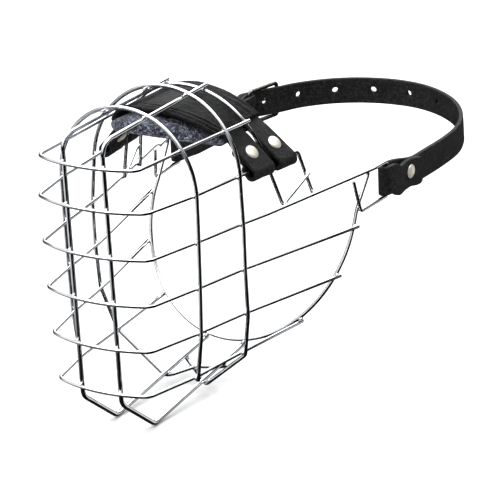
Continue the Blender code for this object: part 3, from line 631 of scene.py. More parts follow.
def inside_arch(shape, z, offset):
    """Half width at a height of an arch drawn in by an offset."""
    radius, centre_z = shape
    return math.sqrt((radius - offset) ** 2 - (z - centre_z) ** 2)


def row_side(index):
    """Side wall of a row behind its corner, as (x, y), from the front hoop to its rear end."""
    z = row_z(index)
    if index < 2:
        middle_x = inside_arch(HOOP_MIDDLE_ARCH, z, ROW_ON_HOOP)
    else:
        middle_x = width_at(HOOP_MIDDLE_LEG, z) - ROW_ON_HOOP
    middle = (middle_x, hoop_middle_y(z))
    if index == 0:
        front_x = inside_arch(HOOP_FRONT_ARCH, z, ROW_ON_HOOP)
        rear_x = inside_arch(HOOP_REAR_ARCH, z, -ROW_ON_ROW)
        return [(front_x, HOOP_FRONT_Y), middle, (rear_x, hoop_rear_y(z))]
    if index == 1:
        return [(HOOP_FRONT_ARCH[0] - ROW_ON_HOOP, HOOP_FRONT_Y), middle, ROW_TWO_END]
    front_x = width_at(HOOP_FRONT_LEG, z) - ROW_ON_HOOP
    if index == 2:
        share = (ROW_THREE_BEND_Y - middle[1]) / (ROW_THREE_END[1] - middle[1])
        bend = (between(middle[0], ROW_THREE_END[0], share), ROW_THREE_BEND_Y)
        return [(front_x, HOOP_FRONT_Y), middle, bend, ROW_THREE_END]
    rim_x = RIM_HALF_WIDTH * math.sqrt(1 - ((RIM_SPRING[1] - z) / RIM_DEPTH) ** 2)
    slope = Vector((rim_x / RIM_HALF_WIDTH ** 2, (RIM_SPRING[1] - z) / RIM_DEPTH ** 2)).normalized()
    return [(front_x, HOOP_FRONT_Y), middle, (rim_x + ROW_ON_ROW / slope.x, rim_y(z))]


def row_half_width(index, y):
    """Half width of a row's side wall at a distance back."""
    return width_at(row_side(index), y)


def riser_point(z):
    """Centre of row two's riser at a height: it stands inside row three."""
    top = Vector((*ROW_TWO_END, row_z(1)))
    foot = Vector((row_half_width(2, RISER_FOOT_Y) - ROW_ON_ROW, RISER_FOOT_Y, RISER_FOOT_Z))
    return top.lerp(foot, (top.z - z) / (top.z - foot.z))


def row_path(index):
    z = row_z(index)
    corner = ROW_CORNER_HALF[index]
    steps = 16
    across = [corner * i / steps for i in range(steps + 1)]
    front = [(x, row_bow_y(index, x)) for x in across]
    side = row_side(index)
    if index in (0, 3, 4, 5):
        last, before = Vector(side[-1]), Vector(side[-2])
        side[-1] = tuple(last + (last - before).normalized() * ROW_OVERHANG)
    keep = 12
    level = [(x, y, row_height(index, y)) for x, y in [front[keep], front[-1]] + side]
    radii = [ROW_CORNER_RADIUS, 40.0] + [60.0] * (len(side) - 2)
    if index == 1:
        level.append(tuple(riser_point(RISER_FOOT_Z)))
        radii.append(4.0)
    if index == 2:
        arm_y = 183.4
        level += [(BAR_X - 0.1, 210.0, BAR_TOP_Z),
                  (BAR_X, BAR_Y, BAR_TOP_Z),
                  (BAR_X, BAR_Y, BAR_BOTTOM_Z),
                  (BAR_X - 0.1, 210.0, BAR_BOTTOM_Z),
                  BAR_ARM_MIDDLE,
                  (row_half_width(2, arm_y) + 0.3, arm_y, row_height(2, arm_y) - ROW_ON_ROW - 0.1)]
        radii += [20.0, 20.0, 3.0, 3.0, 20.0, 2.2]
    half = [(x, y, z) for x, y in front[:keep]] + rounded(level, radii[:len(level) - 2])
    return both_sides(half)


def centre_wire_path(side):
    corners = [TOP_REAR, TOP_FRONT, CHIN_FRONT, BASE_FRONT, (BASE_REAR_Y, base_z(BASE_REAR_Y))]
    points = [(side * CENTRE_HALF, y, z) for y, z in corners]
    return rounded(points, [9.0, 9.0, 8.0])


def wire_routes():
    """Name to (path, diameter) of every wire of the basket."""
    routes = {f"row_wire_{i + 1}": (row_path(i), ROW_WIRE) for i in range(6)}
    for side, word in SIDES:
        routes[f"centre_wire_{word}"] = (centre_wire_path(side), CENTRE_WIRE)
    routes["hoop_front"] = (hoop_front_path(), HOOP_WIRE)
    routes["hoop_middle"] = (hoop_middle_path(), HOOP_WIRE)
    routes["hoop_rear"] = (hoop_rear_path(), ROW_WIRE)
    routes["rear_rim"] = (rear_rim_path(), ROW_WIRE)
    return routes


def dense(path, spacing):
    """Path with extra points on its long straights."""
    path = [Vector(p) for p in path]
    out = [path[0]]
    for a, b in zip(path, path[1:]):
        count = max(1, math.ceil((b - a).length / spacing))
        out += [a.lerp(b, i / count) for i in range(1, count + 1)]
    return out


def crossings(routes):
    """Welds, as (distance, point, other point, direction, other direction, the wires' names)."""
    samples = []
    for name, (path, diameter) in routes.items():
        line = dense(path, 0.7)
        for point, way in zip(line, frames_along(line)[0]):
            samples.append((point, way, name, diameter))
    tree = kdtree.KDTree(len(samples))
    for i, sample in enumerate(samples):
        tree.insert(sample[0], i)
    tree.balance()
    pairs = []
    for point, way, name, diameter in samples:
        for _, j, distance in tree.find_range(point, CENTRE_WIRE + 0.9):
            other, other_way, other_name, other_diameter = samples[j]
            if name < other_name and distance < (diameter + other_diameter) / 2 + WELD_REACH:
                pairs.append((distance, point, other, way, other_way, name + other_name))
    pairs.sort(key=lambda pair: pair[0])
    welds = []
    for pair in pairs:
        if all(pair[5] != w[5] or (pair[1] - w[1]).length > WELDS_APART for w in welds):
            welds.append(pair)
    return welds


def build_wires(materials):
    routes = wire_routes()
    for name, (path, diameter) in routes.items():
        wire = tube(path, diameter / 2, 20)
        finish_mesh(name + "_chromed", wire, materials["chrome"], "basket", [name], 60)
    bm = bmesh.new()
    for _, a, b, way_a, way_b, _ in crossings(routes):
        across = (b - a).normalized()
        along = (way_a + way_b if way_a.dot(way_b) > 0 else way_a - way_b).normalized()
        side = across.cross(along).normalized()
        half = (1.75, 1.55, (b - a).length / 2 * 0.86)
        shape = placed((a + b) / 2, (along, side, across)) @ Matrix.Diagonal((*half, 1.0))
        bmesh.ops.create_icosphere(bm, subdivisions=3, radius=1.0, matrix=shape)
    beads = finish_mesh("weld_beads", bm, materials["chrome"], "basket", [], 0)


# ---- leather ribbons

def edge_drop(room, reach):
    """How far an edge rounded off by that reach has fallen back, at some room in from it."""
    near = 1 - min(1.0, room / reach)
    return reach * (1 - math.sqrt(max(0.0, 1 - near ** 2)))


def edge_profile(width, thickness, across=12, radius=0.75):
    """Outline of a flat strip with rounded edges, as (sideways, outward), counter-clockwise."""
    corner_steps = 3
    half_w, half_t = width / 2, thickness / 2
    outline = []
    for cx, cy, start in ((1, 1, 0.0), (-1, 1, 0.5), (-1, -1, 1.0), (1, -1, 1.5)):
        for i in range(corner_steps + 1):
            angle = math.pi * (start + 0.5 * i / corner_steps)
            outline.append((cx * (half_w - radius) + radius * math.cos(angle),
                            cy * (half_t - radius) + radius * math.sin(angle)))
        if cx == cy:
            start_x = cx * (half_w - radius)
            for i in range(1, across):
                outline.append((between(start_x, -start_x, i / across), cy * half_t))
    return outline


def ribbon(centres, sides, profile, ends, wave):
    """Leather strip along its centres, its ends rounded by that many millimetres. wave(distance,
    sideways) moves its surface a little."""
    tangents, _ = frames_along(centres)
    length = [0.0]
    for a, b in zip(centres, centres[1:]):
        length.append(length[-1] + (b - a).length)
    width = max(p[0] for p in profile)
    rings = []
    for i, (centre, tangent, side) in enumerate(zip(centres, tangents, sides)):
        side = (side - tangent * side.dot(tangent)).normalized()
        normal = side.cross(tangent)
        share = 1.0
        for distance, reach in ((length[i], ends[0]), (length[-1] - length[i], ends[1])):
            if distance < reach:
                share = min(share, 1 - edge_drop(distance, reach) / width)
        rings.append([centre + side * (a * share) + normal * (b + wave(length[i], a))
                      for a, b in profile])
    return loft(rings)


def punch(obj, name, places, radius, depth, stretch):
    """Cuts round holes through a ribbon, the first one stretched into a slot. places are (point,
    direction through, direction along)."""
    bm = bmesh.new()
    for number, (point, through, along) in enumerate(places):
        longer = Matrix.Diagonal((1.0 if number else stretch, 1.0, 1.0, 1.0))
        shape = placed(point, (along, through.cross(along), through)) @ longer
        bmesh.ops.create_cone(bm, cap_ends=True, segments=28, radius1=radius, radius2=radius,
                              depth=depth, matrix=shape)
    cutter = mesh_object(name, bm)
    modifier = obj.modifiers.new(name, "BOOLEAN")
    modifier.operation = "DIFFERENCE"
    modifier.solver = "EXACT"
    modifier.object = cutter
    bpy.context.view_layer.update()
    graph = bpy.context.evaluated_depsgraph_get()
    cut = bpy.data.meshes.new_from_object(obj.evaluated_get(graph))
    obj.modifiers.clear()
    old = obj.data
    obj.data = cut
    bpy.data.meshes.remove(old)
    bpy.data.objects.remove(cutter, do_unlink=True)


# ---- nose saddle

def tab_line(top_y, loop_y):
    """Centres and side directions of a right-hand tab, and its rivet: (outer, inner) points."""
    spread = row_half_width(1, loop_y + 8) - row_half_width(1, loop_y - 8)
    along = Vector((spread, 16.0, 0)).normalized()
    axis = Vector((0, 0, SADDLE_AXIS_Z))
    wire = Vector((row_half_width(1, loop_y), 0, row_z(1)))
    reach = wire - axis
    leave = math.atan2(reach.x, reach.z) - math.acos((TAB_RADIUS - TAB_LOOP_RADIUS) / reach.length)
    normal = Vector((math.sin(leave), 0, math.cos(leave)))
    down = Vector((math.cos(leave), 0, -math.sin(leave)))
    foot = wire + normal * TAB_LOOP_RADIUS
    top = axis + normal * TAB_RADIUS
    run = (foot - top).length
    line = []
    for i in range(4):
        angle = leave - math.radians(3) * (3 - i)
        outward = Vector((math.sin(angle), 0, math.cos(angle)))
        line.append((axis + outward * TAB_RADIUS, 0.0, 0.0))
    start, end = TAB_FLAT_UNDER_PLATE, run - TAB_END_UP - 1.0
    for i in range(5):
        distance = between(start, end, i / 4)
        line.append((top + down * distance, distance / run, i / 4))
    line.append((top + down * (run - 8.0), 1 - 8.0 / run, 1.0))
    for i in range(15):
        outward = Matrix.Rotation(math.radians(200) * i / 14, 3, "Y") @ normal
        line.append((wire + down * TAB_LOOP_SLACK + outward * TAB_LOOP_RADIUS, 1.0, 1.0))
    line.append((wire - normal * 3.0 - down * 2.5, 1.0, 1.0))
    inner_line = foot - normal * (TAB_THICKNESS + GAP)
    for back in (TAB_RIVET_UP - 4.0, TAB_RIVET_UP, TAB_END_UP):
        line.append((inner_line - down * back, 1 - back / run, 1.0))
    packed = []
    for centre, share, turn in line:
        side_way = Vector((0, 1, 0)).lerp(along, turn).normalized()
        y = between(top_y, loop_y, share)
        packed.append(Vector((centre.x, y, centre.z, *side_way)))
    curve = catmull_rom([packed[0]] + packed + [packed[-1]], 1.2)
    rivet = foot - down * TAB_RIVET_UP
    rivet.y = between(top_y, loop_y, 1 - TAB_RIVET_UP / run)
    square = along.cross(down + Vector((0, (loop_y - top_y) / run, 0))).normalized()
    square *= math.copysign(1.0, square.dot(normal))
    outer = rivet + square * TAB_THICKNESS / 2
    inner = rivet - square * (1.5 * TAB_THICKNESS + GAP)
    centres = [Vector(p[:3]) for p in curve]
    sides = [Vector(p[3:]).normalized() for p in curve]
    return centres, sides, outer, inner


def flipped(points, side):
    return [Vector((p.x * side, p.y, p.z)) for p in points]


def build_tab(name, side, top_y, loop_y, width, materials):
    centres, sides, outer, inner = tab_line(top_y, loop_y)
    centres, sides = flipped(centres, side), flipped(sides, side)
    seed = Vector((side * 3.0, top_y, 1.0))

    def wave(distance, sideways):
        return 0.22 * noise.noise(Vector((distance * 0.11, sideways * 0.12, 0.0)) + seed)

    leather = ribbon(centres, sides, edge_profile(width, TAB_THICKNESS), (0.0, 3.0), wave)
    finish_mesh(name + "_leather", leather, materials["strap_leather"], "basket", [name])
    outer, inner = flipped([outer, inner], side)
    rivet = name.replace("tab", "rivet")
    build_rivet(rivet + "_cap", inner, outer, "basket", [rivet, rivet + "_burr"], materials)


def saddle_point(radius, angle, y):
    return Vector((radius * math.sin(angle), y, SADDLE_AXIS_Z + radius * math.cos(angle)))


def plate_point(radius, angle, y):
    """As saddle_point, but the skirts run straight on down, as the tabs pull them."""
    past = max(0.0, abs(angle) - PLATE_STRAIGHT_FROM) * TAB_RADIUS
    bend = min(abs(angle), PLATE_STRAIGHT_FROM)
    x = radius * math.sin(bend) + past * math.cos(bend)
    z = radius * math.cos(bend) - past * math.sin(bend)
    return Vector((math.copysign(x, angle), y, SADDLE_AXIS_Z + z))


def sheet_edge(y, sweep, half_angle, power):
    """Edge of a sheet: its y over an angle, running back down the skirts by the sweep."""
    return lambda angle: y + sweep * (abs(angle) / half_angle) ** power


def build_sheet(name, surface, radii, half_angle, edges, relief, material, node, count):
    """Curved sheet of the saddle. relief(angle, y, from_front, from_rear) lifts its outside."""
    front, rear = edges
    inner, outer = radii
    columns, rows = count
    round_off = (outer - inner) * 0.45
    rings = []
    for i in range(columns + 1):
        angle = half_angle * (2 * i / columns - 1)
        first, last = front(angle), rear(angle)
        shrink = edge_drop((half_angle - abs(angle)) * outer, round_off)
        ys = [between(first, last, j / rows) for j in range(rows + 1)]
        drops = [shrink + edge_drop(min(y - first, last - y), round_off) for y in ys]
        outside = [surface(outer - drop + relief(angle, y, y - first, last - y), angle, y)
                   for y, drop in zip(ys, drops)]
        inside = [surface(inner + drop, angle, y) for y, drop in zip(ys, drops)]
        rings.append(outside + inside[::-1])
    return finish_mesh(name, loft(rings), material, "basket", [node])


def plate_relief(angle, y, from_front, from_rear):
    """Welt and seam at the front, wrinkles over the back."""
    lift = 0.45 * math.exp(-((from_front - 2.4) / 1.2) ** 2)
    lift -= 0.60 * math.exp(-((from_front - 5.0) / 0.55) ** 2)
    lift += 0.20 * math.exp(-((from_front - 6.6) / 0.9) ** 2)
    wrinkle = noise.noise(Vector((angle * 3.2, y * 0.20, 3.0)))
    fold = math.sin(from_rear * 1.25 + wrinkle * 3.4)
    lift += 0.34 * fold * math.exp(-((from_rear - 6.5) / 6.5) ** 2)
    lift += 0.30 * noise.noise(Vector((angle * 6.5, y * 0.10, 0.5)))
    lift += 0.14 * noise.noise(Vector((angle * 17.0, y * 0.35, 7.5)))
    return min(lift, 0.55)


def felt_relief(angle, y, from_front, from_rear):
    lift = 0.30 * noise.noise(Vector((angle * 14.0, y * 0.30, 9.0)))
    return lift + 0.16 * noise.noise(Vector((angle * 55.0, y * 1.2, 4.0)))


def build_saddle(materials):
    edges = (sheet_edge(44.0, 50.0, FELT_HALF_ANGLE, 2), sheet_edge(123.5, 5.5, FELT_HALF_ANGLE, 2))
    felt = build_sheet("felt_lining", saddle_point, FELT_RADII, FELT_HALF_ANGLE, edges,
                       felt_relief, materials["felt"], "saddle_felt", (110, 90))
    plate_front = sheet_edge(65.0, 22.0, PLATE_HALF_ANGLE, 1.5)
    edges = (plate_front, sheet_edge(125.0, 8.0, PLATE_HALF_ANGLE, 2))
    build_sheet("saddle_leather", plate_point, PLATE_RADII, PLATE_HALF_ANGLE, edges,
                plate_relief, materials["saddle_leather"], "saddle_plate", (120, 110))
    radius = sum(PLATE_RADII) / 2
    path = []
    count = 60
    for i in range(count + 1):
        angle = PLATE_HALF_ANGLE * (2 * i / count - 1)
        slope = (plate_front(angle + 0.01) - plate_front(angle - 0.01)) / (0.02 * radius)
        offset = (EDGE_ROLL / 2 + GAP) * math.sqrt(1 + slope ** 2)
        path.append(plate_point(radius, angle, plate_front(angle) - offset))
    finish_mesh("saddle_welt", tube(path, EDGE_ROLL / 2, 14), materials["saddle_leather"],
                "basket", ["saddle_edge_roll"])
    for side, word in SIDES:
        for where, top_y, loop_y, width in TABS:
            build_tab(f"saddle_tab_{where}_{word}", side, top_y, loop_y, width, materials)


# ---- rivets

def build_rivet(name, inner, outer, body, nodes, materials):
    """Domed rivet head, its post, and the burr on the inside."""
    axis = (outer - inner).normalized()
    seat = (outer - inner).length + 0.05
    rim, top, under = RIVET_HEAD_RADIUS, RIVET_HEAD_HEIGHT, -BURR_THICKNESS
    profile = [(0.0, under - 0.9), (1.2, under - 0.85), (1.9, under - 0.45), (2.0, under - 0.12),
               (BURR_RADIUS - 0.2, under - 0.1), (BURR_RADIUS, under), (BURR_RADIUS, -0.1),
               (BURR_RADIUS - 0.2, -0.04), (RIVET_POST_RADIUS, -0.03), (RIVET_POST_RADIUS, seat),
               (rim - 0.35, seat), (rim, seat + 0.25), (rim - 0.02, seat + 0.42)]
    for i in range(1, 8):
        angle = math.pi / 2 * i / 8
        profile.append(((rim - 0.1) * math.cos(angle) ** 0.8,
                        seat + 0.45 + (top - 0.75) * math.sin(angle) ** 1.2))
    profile.append((0.0, seat + top - 0.3))
    side = axis.orthogonal().normalized()
    other = axis.cross(side)
    bm = loft([circle(inner + axis * h, side, other, r, 36) for r, h in profile])
    bmesh.ops.remove_doubles(bm, verts=bm.verts, dist=1e-5)
    finish_mesh(name, bm, materials["nickel"], body, nodes, 35)


# ---- neck strap and buckle

def smooth(value, low, high):
    """0 below low, 1 above high, and an even S between them."""
    t = min(1.0, max(0.0, (value - low) / (high - low)))
    return t * t * (3 - 2 * t)


def strap_lift(x, y):
    """Height of a strap's middle over the middle of the cheek bars. The right cheek's run hangs low,
    its folded-back tab sooner than its inner layer, and climbs again round the neck."""
    if x <= 0.0:
        return FOLD_LIFT * (1 - smooth(y, 221.5, 240.0)) + NECK_LIFT * smooth(y, 276.0, 298.0)
    if x > STRAP_HALF + 1.75 and y < TAB_END_Y + 1.0:
        return FOLD_LIFT - 5.0 * smooth(y, 221.0, 232.0) - 2.1 * smooth(y, CHEEK_RIVET_Y, 262.0)
    hang = FOLD_LIFT - (FOLD_LIFT + STRAP_HANG) * smooth(y, 221.5, 264.0)
    climb = max(0.0, y - 290.0) / (STRAP_BACK_Y + STRAP_HALF - 290.0)
    return hang + (NECK_LIFT + STRAP_HANG) * climb ** 1.5


def strap_lean(x, y):
    """Angle by which the strap's top edge leans in towards the neck."""
    return STRAP_LEAN * (smooth(y, 310.0, 385.0) if x > 0 else smooth(y, 338.0, 362.0))


def cheek_fold(side, layer, loose_end_y):
    """Strap route, as (x, y), from its loose end forward, round the cheek bar and back inside."""
    reach = 7.2
    half = BAR_X - STRAP_HALF
    fold = [(STRAP_HALF + layer, loose_end_y), (STRAP_HALF + layer, 243.0),
            (BAR_X + half - 0.6, 231.0), (BAR_X + half, 224.0)]
    for i in range(9):
        angle = math.pi * i / 8
        fold.append((BAR_X + half * math.cos(angle), BAR_Y - reach * math.sin(angle)))
    return [(side * x, y) for x, y in fold]


def long_strap_route():
    """From the right cheek round the neck, under the buckle's rear bar, over its heel and forward.
    Also gives the number of the point where it starts to turn over the heel."""
    route = cheek_fold(1, STRAP_THICKNESS + GAP, TAB_END_Y)
    route += [(STRAP_HALF, 240.0), (STRAP_HALF, 280.0)]
    route += arc((0.0, STRAP_BACK_Y), STRAP_HALF, 0.0, RING_END, 20)
    heel_x, heel_y = HEEL
    turn = len(route)
    route += arc((heel_x, heel_y), HEEL_WRAP, math.radians(162), math.radians(200), 4)
    lie = -(STRAP_HALF + BUCKLE_STRAP_LAYER + BUCKLE_STRAP_THICKNESS / 2 + GAP + STRAP_THICKNESS / 2)
    route += [(lie - 1.0, heel_y - 10.0), (lie, heel_y - 16.0), (lie, STRAP_TIP_Y + 5.0),
              (lie, STRAP_TIP_Y)]
    return route, turn


def buckle_strap_route():
    route = cheek_fold(-1, BUCKLE_STRAP_LAYER, 268.5)
    heel_x, heel_y = HEEL
    route += [(-STRAP_HALF, 240.0), (-STRAP_HALF, heel_y - 12.0)]
    route += arc((heel_x, heel_y), -heel_x - STRAP_HALF, 0.0, math.pi, 10)
    route += [(heel_x - 1.5, heel_y - 6.5), (-(STRAP_HALF + BUCKLE_STRAP_LAYER), heel_y - 12.0),
              (-(STRAP_HALF + BUCKLE_STRAP_LAYER), 272.0)]
    return route


def upright_ribbon(name, route, thickness, ends, seed, leather, node):
    """Strap standing on edge along a level route."""
    level = [Vector((p.x, p.y, 0.0)) for p in spline_through(route, 1.6)]
    centres = [Vector((p.x, p.y, STRAP_Z + strap_lift(p.x, p.y))) for p in level]
    tangents, _ = frames_along(level)
    sides = []
    for p, tangent in zip(level, tangents):
        sides.append(Matrix.Rotation(-strap_lean(p.x, p.y), 3, tangent) @ Vector((0, 0, 1)))

    def wave(distance, sideways):
        return 0.18 * noise.noise(Vector((distance * 0.05, sideways * 0.10, seed)))

    strap = ribbon(centres, sides, edge_profile(STRAP_WIDTH, thickness), ends, wave)
    return finish_mesh(name, strap, leather, "neck_strap", [node])


def point_on(centres, distance):
    for a, b in zip(centres, centres[1:]):
        length = (b - a).length
        if distance <= length:
            return a.lerp(b, distance / length), (b - a).normalized()
        distance -= length
    raise ValueError("beyond the route")


def build_neck_strap(materials):
    leather = materials["strap_leather"]
    route, turn = long_strap_route()
    strap = upright_ribbon("neck_strap_leather", route, STRAP_THICKNESS,
                           (4.0, 5.0), 2.0, leather, "neck_strap")
    level = [Vector((x, y, 0.0)) for x, y in route]
    prong_hole = sum((b - a).length for a, b in zip(level, level[1:turn + 1])) - PRONG_REACH
    holes = []
    for i in range(HOLE_COUNT + 1):
        back = FIRST_HOLE + HOLE_PITCH * (i - 1) if i else 0.0
        point, way = point_on(level, prong_hole - back)
        point.z = STRAP_Z + strap_lift(point.x, point.y) + (HOLE_RISE if i else 0.0)
        holes.append((point, Vector((way.y, -way.x, 0)), way))
    punch(strap, "strap_punch", holes, HOLE_DIAMETER / 2, STRAP_THICKNESS + 3.0, 1.75)

    short = upright_ribbon("buckle_strap_leather", buckle_strap_route(), BUCKLE_STRAP_THICKNESS,
                           (0.0, 0.0), 7.0, leather, "buckle_strap")
    slot_centre = Vector((HEEL[0], HEEL[1] + 0.5, BUCKLE_Z))
    punch(short, "slot_punch", [(slot_centre, Vector((1, 0, 0)), Vector((0, 1, 0)))],
          PRONG_SLOT / 2, 16.0, 3.4)

    for side, layer, thickness, word in ((1, STRAP_THICKNESS + GAP, STRAP_THICKNESS, "right"),
                                         (-1, BUCKLE_STRAP_LAYER, BUCKLE_STRAP_THICKNESS, "left")):
        rivet_z = STRAP_Z + CHEEK_RIVET_RISE[side]
        outer = Vector((side * (STRAP_HALF + layer + thickness / 2), CHEEK_RIVET_Y, rivet_z))
        inner = Vector((side * (STRAP_HALF - thickness / 2), CHEEK_RIVET_Y, rivet_z))
        rivet = f"cheek_rivet_{word}"
        build_rivet(rivet + "_cap", inner, outer, "neck_strap", [rivet, rivet + "_burr"], materials)


def prong_shank():
    """Shank of the tongue, laid out along and outward of the strap between the buckle's bars."""
    strap, turn = long_strap_route()
    start, end = Vector(strap[turn]), Vector(strap[turn - 1])
    along = (end - start).normalized()
    out = Vector((-along.y, along.x))
    bar = Vector(REAR_BAR) - start
    bar_along, bar_out = bar.dot(along), bar.dot(out)
    rest = bar_out + (BUCKLE_WIRE + PRONG_WIRE) / 2 + GAP
    shape = [(PRONG_REACH - 1.6, -3.2), (PRONG_REACH, 0.0), (PRONG_REACH + 1.9, 3.1),
             (PRONG_REACH + 5.0, 4.6), (PRONG_REACH + 13.0, 5.5), (bar_along, rest),
             (bar_along + 3.5, rest - 0.3)]
    return [tuple(start + along * a + out * b) for a, b in shape]


def build_buckle(materials):
    heel_x, heel_y = HEEL
    rear_x, rear_y = REAR_BAR
    high, low = BUCKLE_Z + BUCKLE_HALF_HEIGHT, BUCKLE_Z - BUCKLE_HALF_HEIGHT
    middle = ((heel_x + rear_x) / 2, (heel_y + rear_y) / 2)
    corners = [(*middle, high), (rear_x, rear_y, high), (rear_x, rear_y, low),
               (heel_x, heel_y, low), (heel_x, heel_y, high), (*middle, high)]
    ring = tube(rounded(corners, 2.6)[:-1], BUCKLE_WIRE / 2, 18, cyclic=True)
    finish_mesh("buckle_ring", ring, materials["buckle"], "buckle", ["buckle_frame"])

    eye = (BUCKLE_WIRE + PRONG_WIRE) / 2 + GAP
    curl = arc((heel_x, heel_y), eye, math.radians(-230), math.radians(80), 24)
    path = [Vector((p.x, p.y, BUCKLE_Z)) for p in spline_through(curl + prong_shank(), 0.7)]
    tongue = tube(path, PRONG_WIRE / 2, 14)
    finish_mesh("buckle_tongue", tongue, materials["buckle"], "prong", ["buckle_prong"])


def build_keeper(materials):
    clearance = 0.35
    inside_x = -(STRAP_HALF - BUCKLE_STRAP_THICKNESS / 2 - clearance)
    lie = STRAP_HALF + BUCKLE_STRAP_LAYER + BUCKLE_STRAP_THICKNESS / 2 + GAP + STRAP_THICKNESS
    outside_x = -(lie + clearance)
    middle_x = (inside_x + outside_x) / 2
    swell = 0.45 + KEEPER_THICKNESS / 2
    half_x = abs(outside_x - inside_x) / 2 + swell
    half_z = STRAP_WIDTH / 2 + clearance + swell
    power = 0.32
    centres = []
    steps = 72
    for i in range(steps):
        angle = 2 * math.pi * (i + 0.5) / steps
        c, s = math.cos(angle), math.sin(angle)
        x = math.copysign(abs(c) ** power, c) * half_x
        z = math.copysign(abs(s) ** power, s) * half_z
        centres.append(Vector((middle_x + x, KEEPER_Y, STRAP_Z + z)))
    tangents, _ = frames_along(centres, cyclic=True)
    profile = edge_profile(KEEPER_WIDTH, KEEPER_THICKNESS, 6, 0.6)
    rings = []
    side = Vector((0, 1, 0))
    for centre, tangent in zip(centres, tangents):
        normal = side.cross(tangent)
        rings.append([centre + side * a + normal * b for a, b in profile])
    finish_mesh("keeper_leather", loft(rings, closed=True), materials["strap_leather"], "keeper",
                ["strap_keeper"])


# ---- materials

# Height of the felt's binding in the frame's metres, and the leathers' dark and light tones
FELT_BINDING_Z = 0.0555
STRAP_TONES = ((0.0035, 0.0035, 0.004), (0.0085, 0.0085, 0.009))
SADDLE_TONES = ((0.0025, 0.0025, 0.003), (0.008, 0.008, 0.0085))


def new_material(name):
    """Material, its node calls, its shader, and the place its textures are worked out from."""
    material = bpy.data.materials.new(name)
    material.use_nodes = True
    n = Nodes(material.node_tree)
    shader = material.node_tree.nodes["Principled BSDF"]
    return material, n, shader, n.add("ShaderNodeTexCoord").outputs["Object"]


def chrome_material():
    """Bright plating: faint draw lines and ripple, slightly duller spots, tiny pits."""
    material, n, shader, where = new_material("chrome_plating")
    ripple = n.noise(where, 260.0, 3.0)
    fine = n.noise(where, 2600.0, 3.0)
    tone = n.fade(ripple, 0.35, 0.7, 1.0, (0.90, 0.91, 0.93, 1), (0.80, 0.82, 0.85, 1))
    soft = n.bump(ripple, 0.00012, 0.10)
    n.put(shader, {"Base Color": tone, "Metallic": 1.0,
                   "Roughness": n.scale(fine, 0.3, 0.8, 0.03, 0.09),
                   "Normal": n.bump(fine, 0.00001, 0.5, soft)})
    return material


def nickel_material(name, bright, dull, metallic, rough):
    """Plated steel: blotchy tone and polish, with fine scratches."""
    material, n, shader, where = new_material(name)
    blotch = n.noise(where, 420.0, 4.0)
    scratch = n.noise(where, 3200.0, 2.0)
    tone = n.fade(blotch, 0.35, 0.7, 1.0, (*bright, 1), (*dull, 1))
    soft = n.bump(blotch, 0.00012, 0.5)
    n.put(shader, {"Base Color": tone, "Metallic": metallic,
                   "Roughness": n.scale(blotch, 0.3, 0.7, *rough),
                   "Normal": n.bump(scratch, 0.00002, 0.4, soft)})
    return material


def leather_material(name, tones, rough, grain_size, grain_depth, sheen):
    """Black leather: pebbled grain, pores, pale scuffs, and uneven dye and polish."""
    material, n, shader, where = new_material(name)
    pebble = n.voronoi(where, grain_size)
    wide = n.voronoi(where, grain_size * 0.4, "SMOOTH_F1")
    cloud = n.noise(where, 140.0, 5.0, 0.7)
    mottle = n.noise(where, 480.0, 4.0, 0.8)
    speck = n.noise(where, 1000.0, 3.0, 0.8)
    dark, light = tones
    tone = n.fade(cloud, 0.35, 0.68, 1.0, (*dark, 1), (*light, 1))
    tone = n.fade(mottle, 0.50, 0.68, 0.85, tone, tuple(c * 3.6 for c in light) + (1,))
    tone = n.fade(speck, 0.55, 0.68, 0.8, tone, tuple(c * 6.5 for c in light) + (1,))
    tone = n.mix(n.scale(pebble, 0.0, 0.22, 0.6, 0.0), tone, (0.003, 0.003, 0.003, 1))
    soft = n.bump(wide, grain_depth * 1.6, 0.8)
    fine = n.bump(pebble, grain_depth, 1.0, soft)
    n.put(shader, {"Base Color": tone, "Specular IOR Level": sheen,
                   "Roughness": n.scale(mottle, 0.3, 0.7, *rough),
                   "Normal": n.bump(mottle, grain_depth * 1.5, 0.8, fine)})
    return material


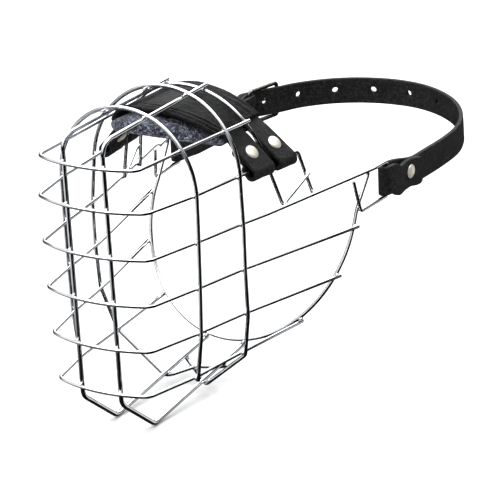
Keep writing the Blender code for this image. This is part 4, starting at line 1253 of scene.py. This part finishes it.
def felt_material():
    """Pressed wool: dark blue-grey with pale flecks, under a black binding on its lower skirts."""
    material, n, shader, where = new_material("wool_felt")
    fibre = n.noise(where, 520.0, 4.0, 0.9)
    tuft = n.noise(where, 230.0, 3.0, 0.7)
    fleck = n.noise(where, 900.0, 3.0, 0.8)
    tone = n.ramp(fibre, ((0.40, (0.006, 0.007, 0.011)), (0.51, (0.035, 0.040, 0.060)),
                          (0.58, (0.19, 0.21, 0.28)), (0.66, (0.78, 0.82, 0.92))))
    tone = n.fade(tuft, 0.44, 0.60, 0.8, tone, (0.010, 0.011, 0.018, 1))
    tone = n.fade(fleck, 0.58, 0.68, 0.9, tone, (0.62, 0.66, 0.76, 1))
    edge = n.math("ADD", n.height(where), n.math("MULTIPLY", tuft, 0.004))
    skirt = n.scale(edge, FELT_BINDING_Z + 0.0015, FELT_BINDING_Z + 0.003, 1.0, 0.0)
    tone = n.mix(skirt, tone, (0.006, 0.006, 0.0065, 1))
    wide = n.bump(tuft, 0.0008, 0.9)
    n.put(shader, {"Base Color": tone, "Roughness": 1.0, "Specular IOR Level": 0.1,
                   "Sheen Weight": 0.12, "Sheen Roughness": 0.5,
                   "Normal": n.bump(fibre, 0.0005, 1.0, wide)})
    return material


def build_materials():
    return {
        "chrome": chrome_material(),
        "nickel": nickel_material("satin_nickel", (0.93, 0.88, 0.80), (0.74, 0.68, 0.59),
                                  0.6, (0.30, 0.45)),
        "buckle": nickel_material("buckle_nickel", (0.30, 0.27, 0.24), (0.07, 0.065, 0.06),
                                  1.0, (0.16, 0.34)),
        "strap_leather": leather_material("strap_leather", STRAP_TONES, (0.50, 0.72),
                                          800.0, 0.00026, 0.20),
        "saddle_leather": leather_material("saddle_leather", SADDLE_TONES, (0.46, 0.66),
                                           700.0, 0.00024, 0.11),
        "felt": felt_material(),
    }


def main():
    build_stage()
    materials = build_materials()
    build_wires(materials)
    build_saddle(materials)
    build_neck_strap(materials)
    build_buckle(materials)
    build_keeper(materials)


main()
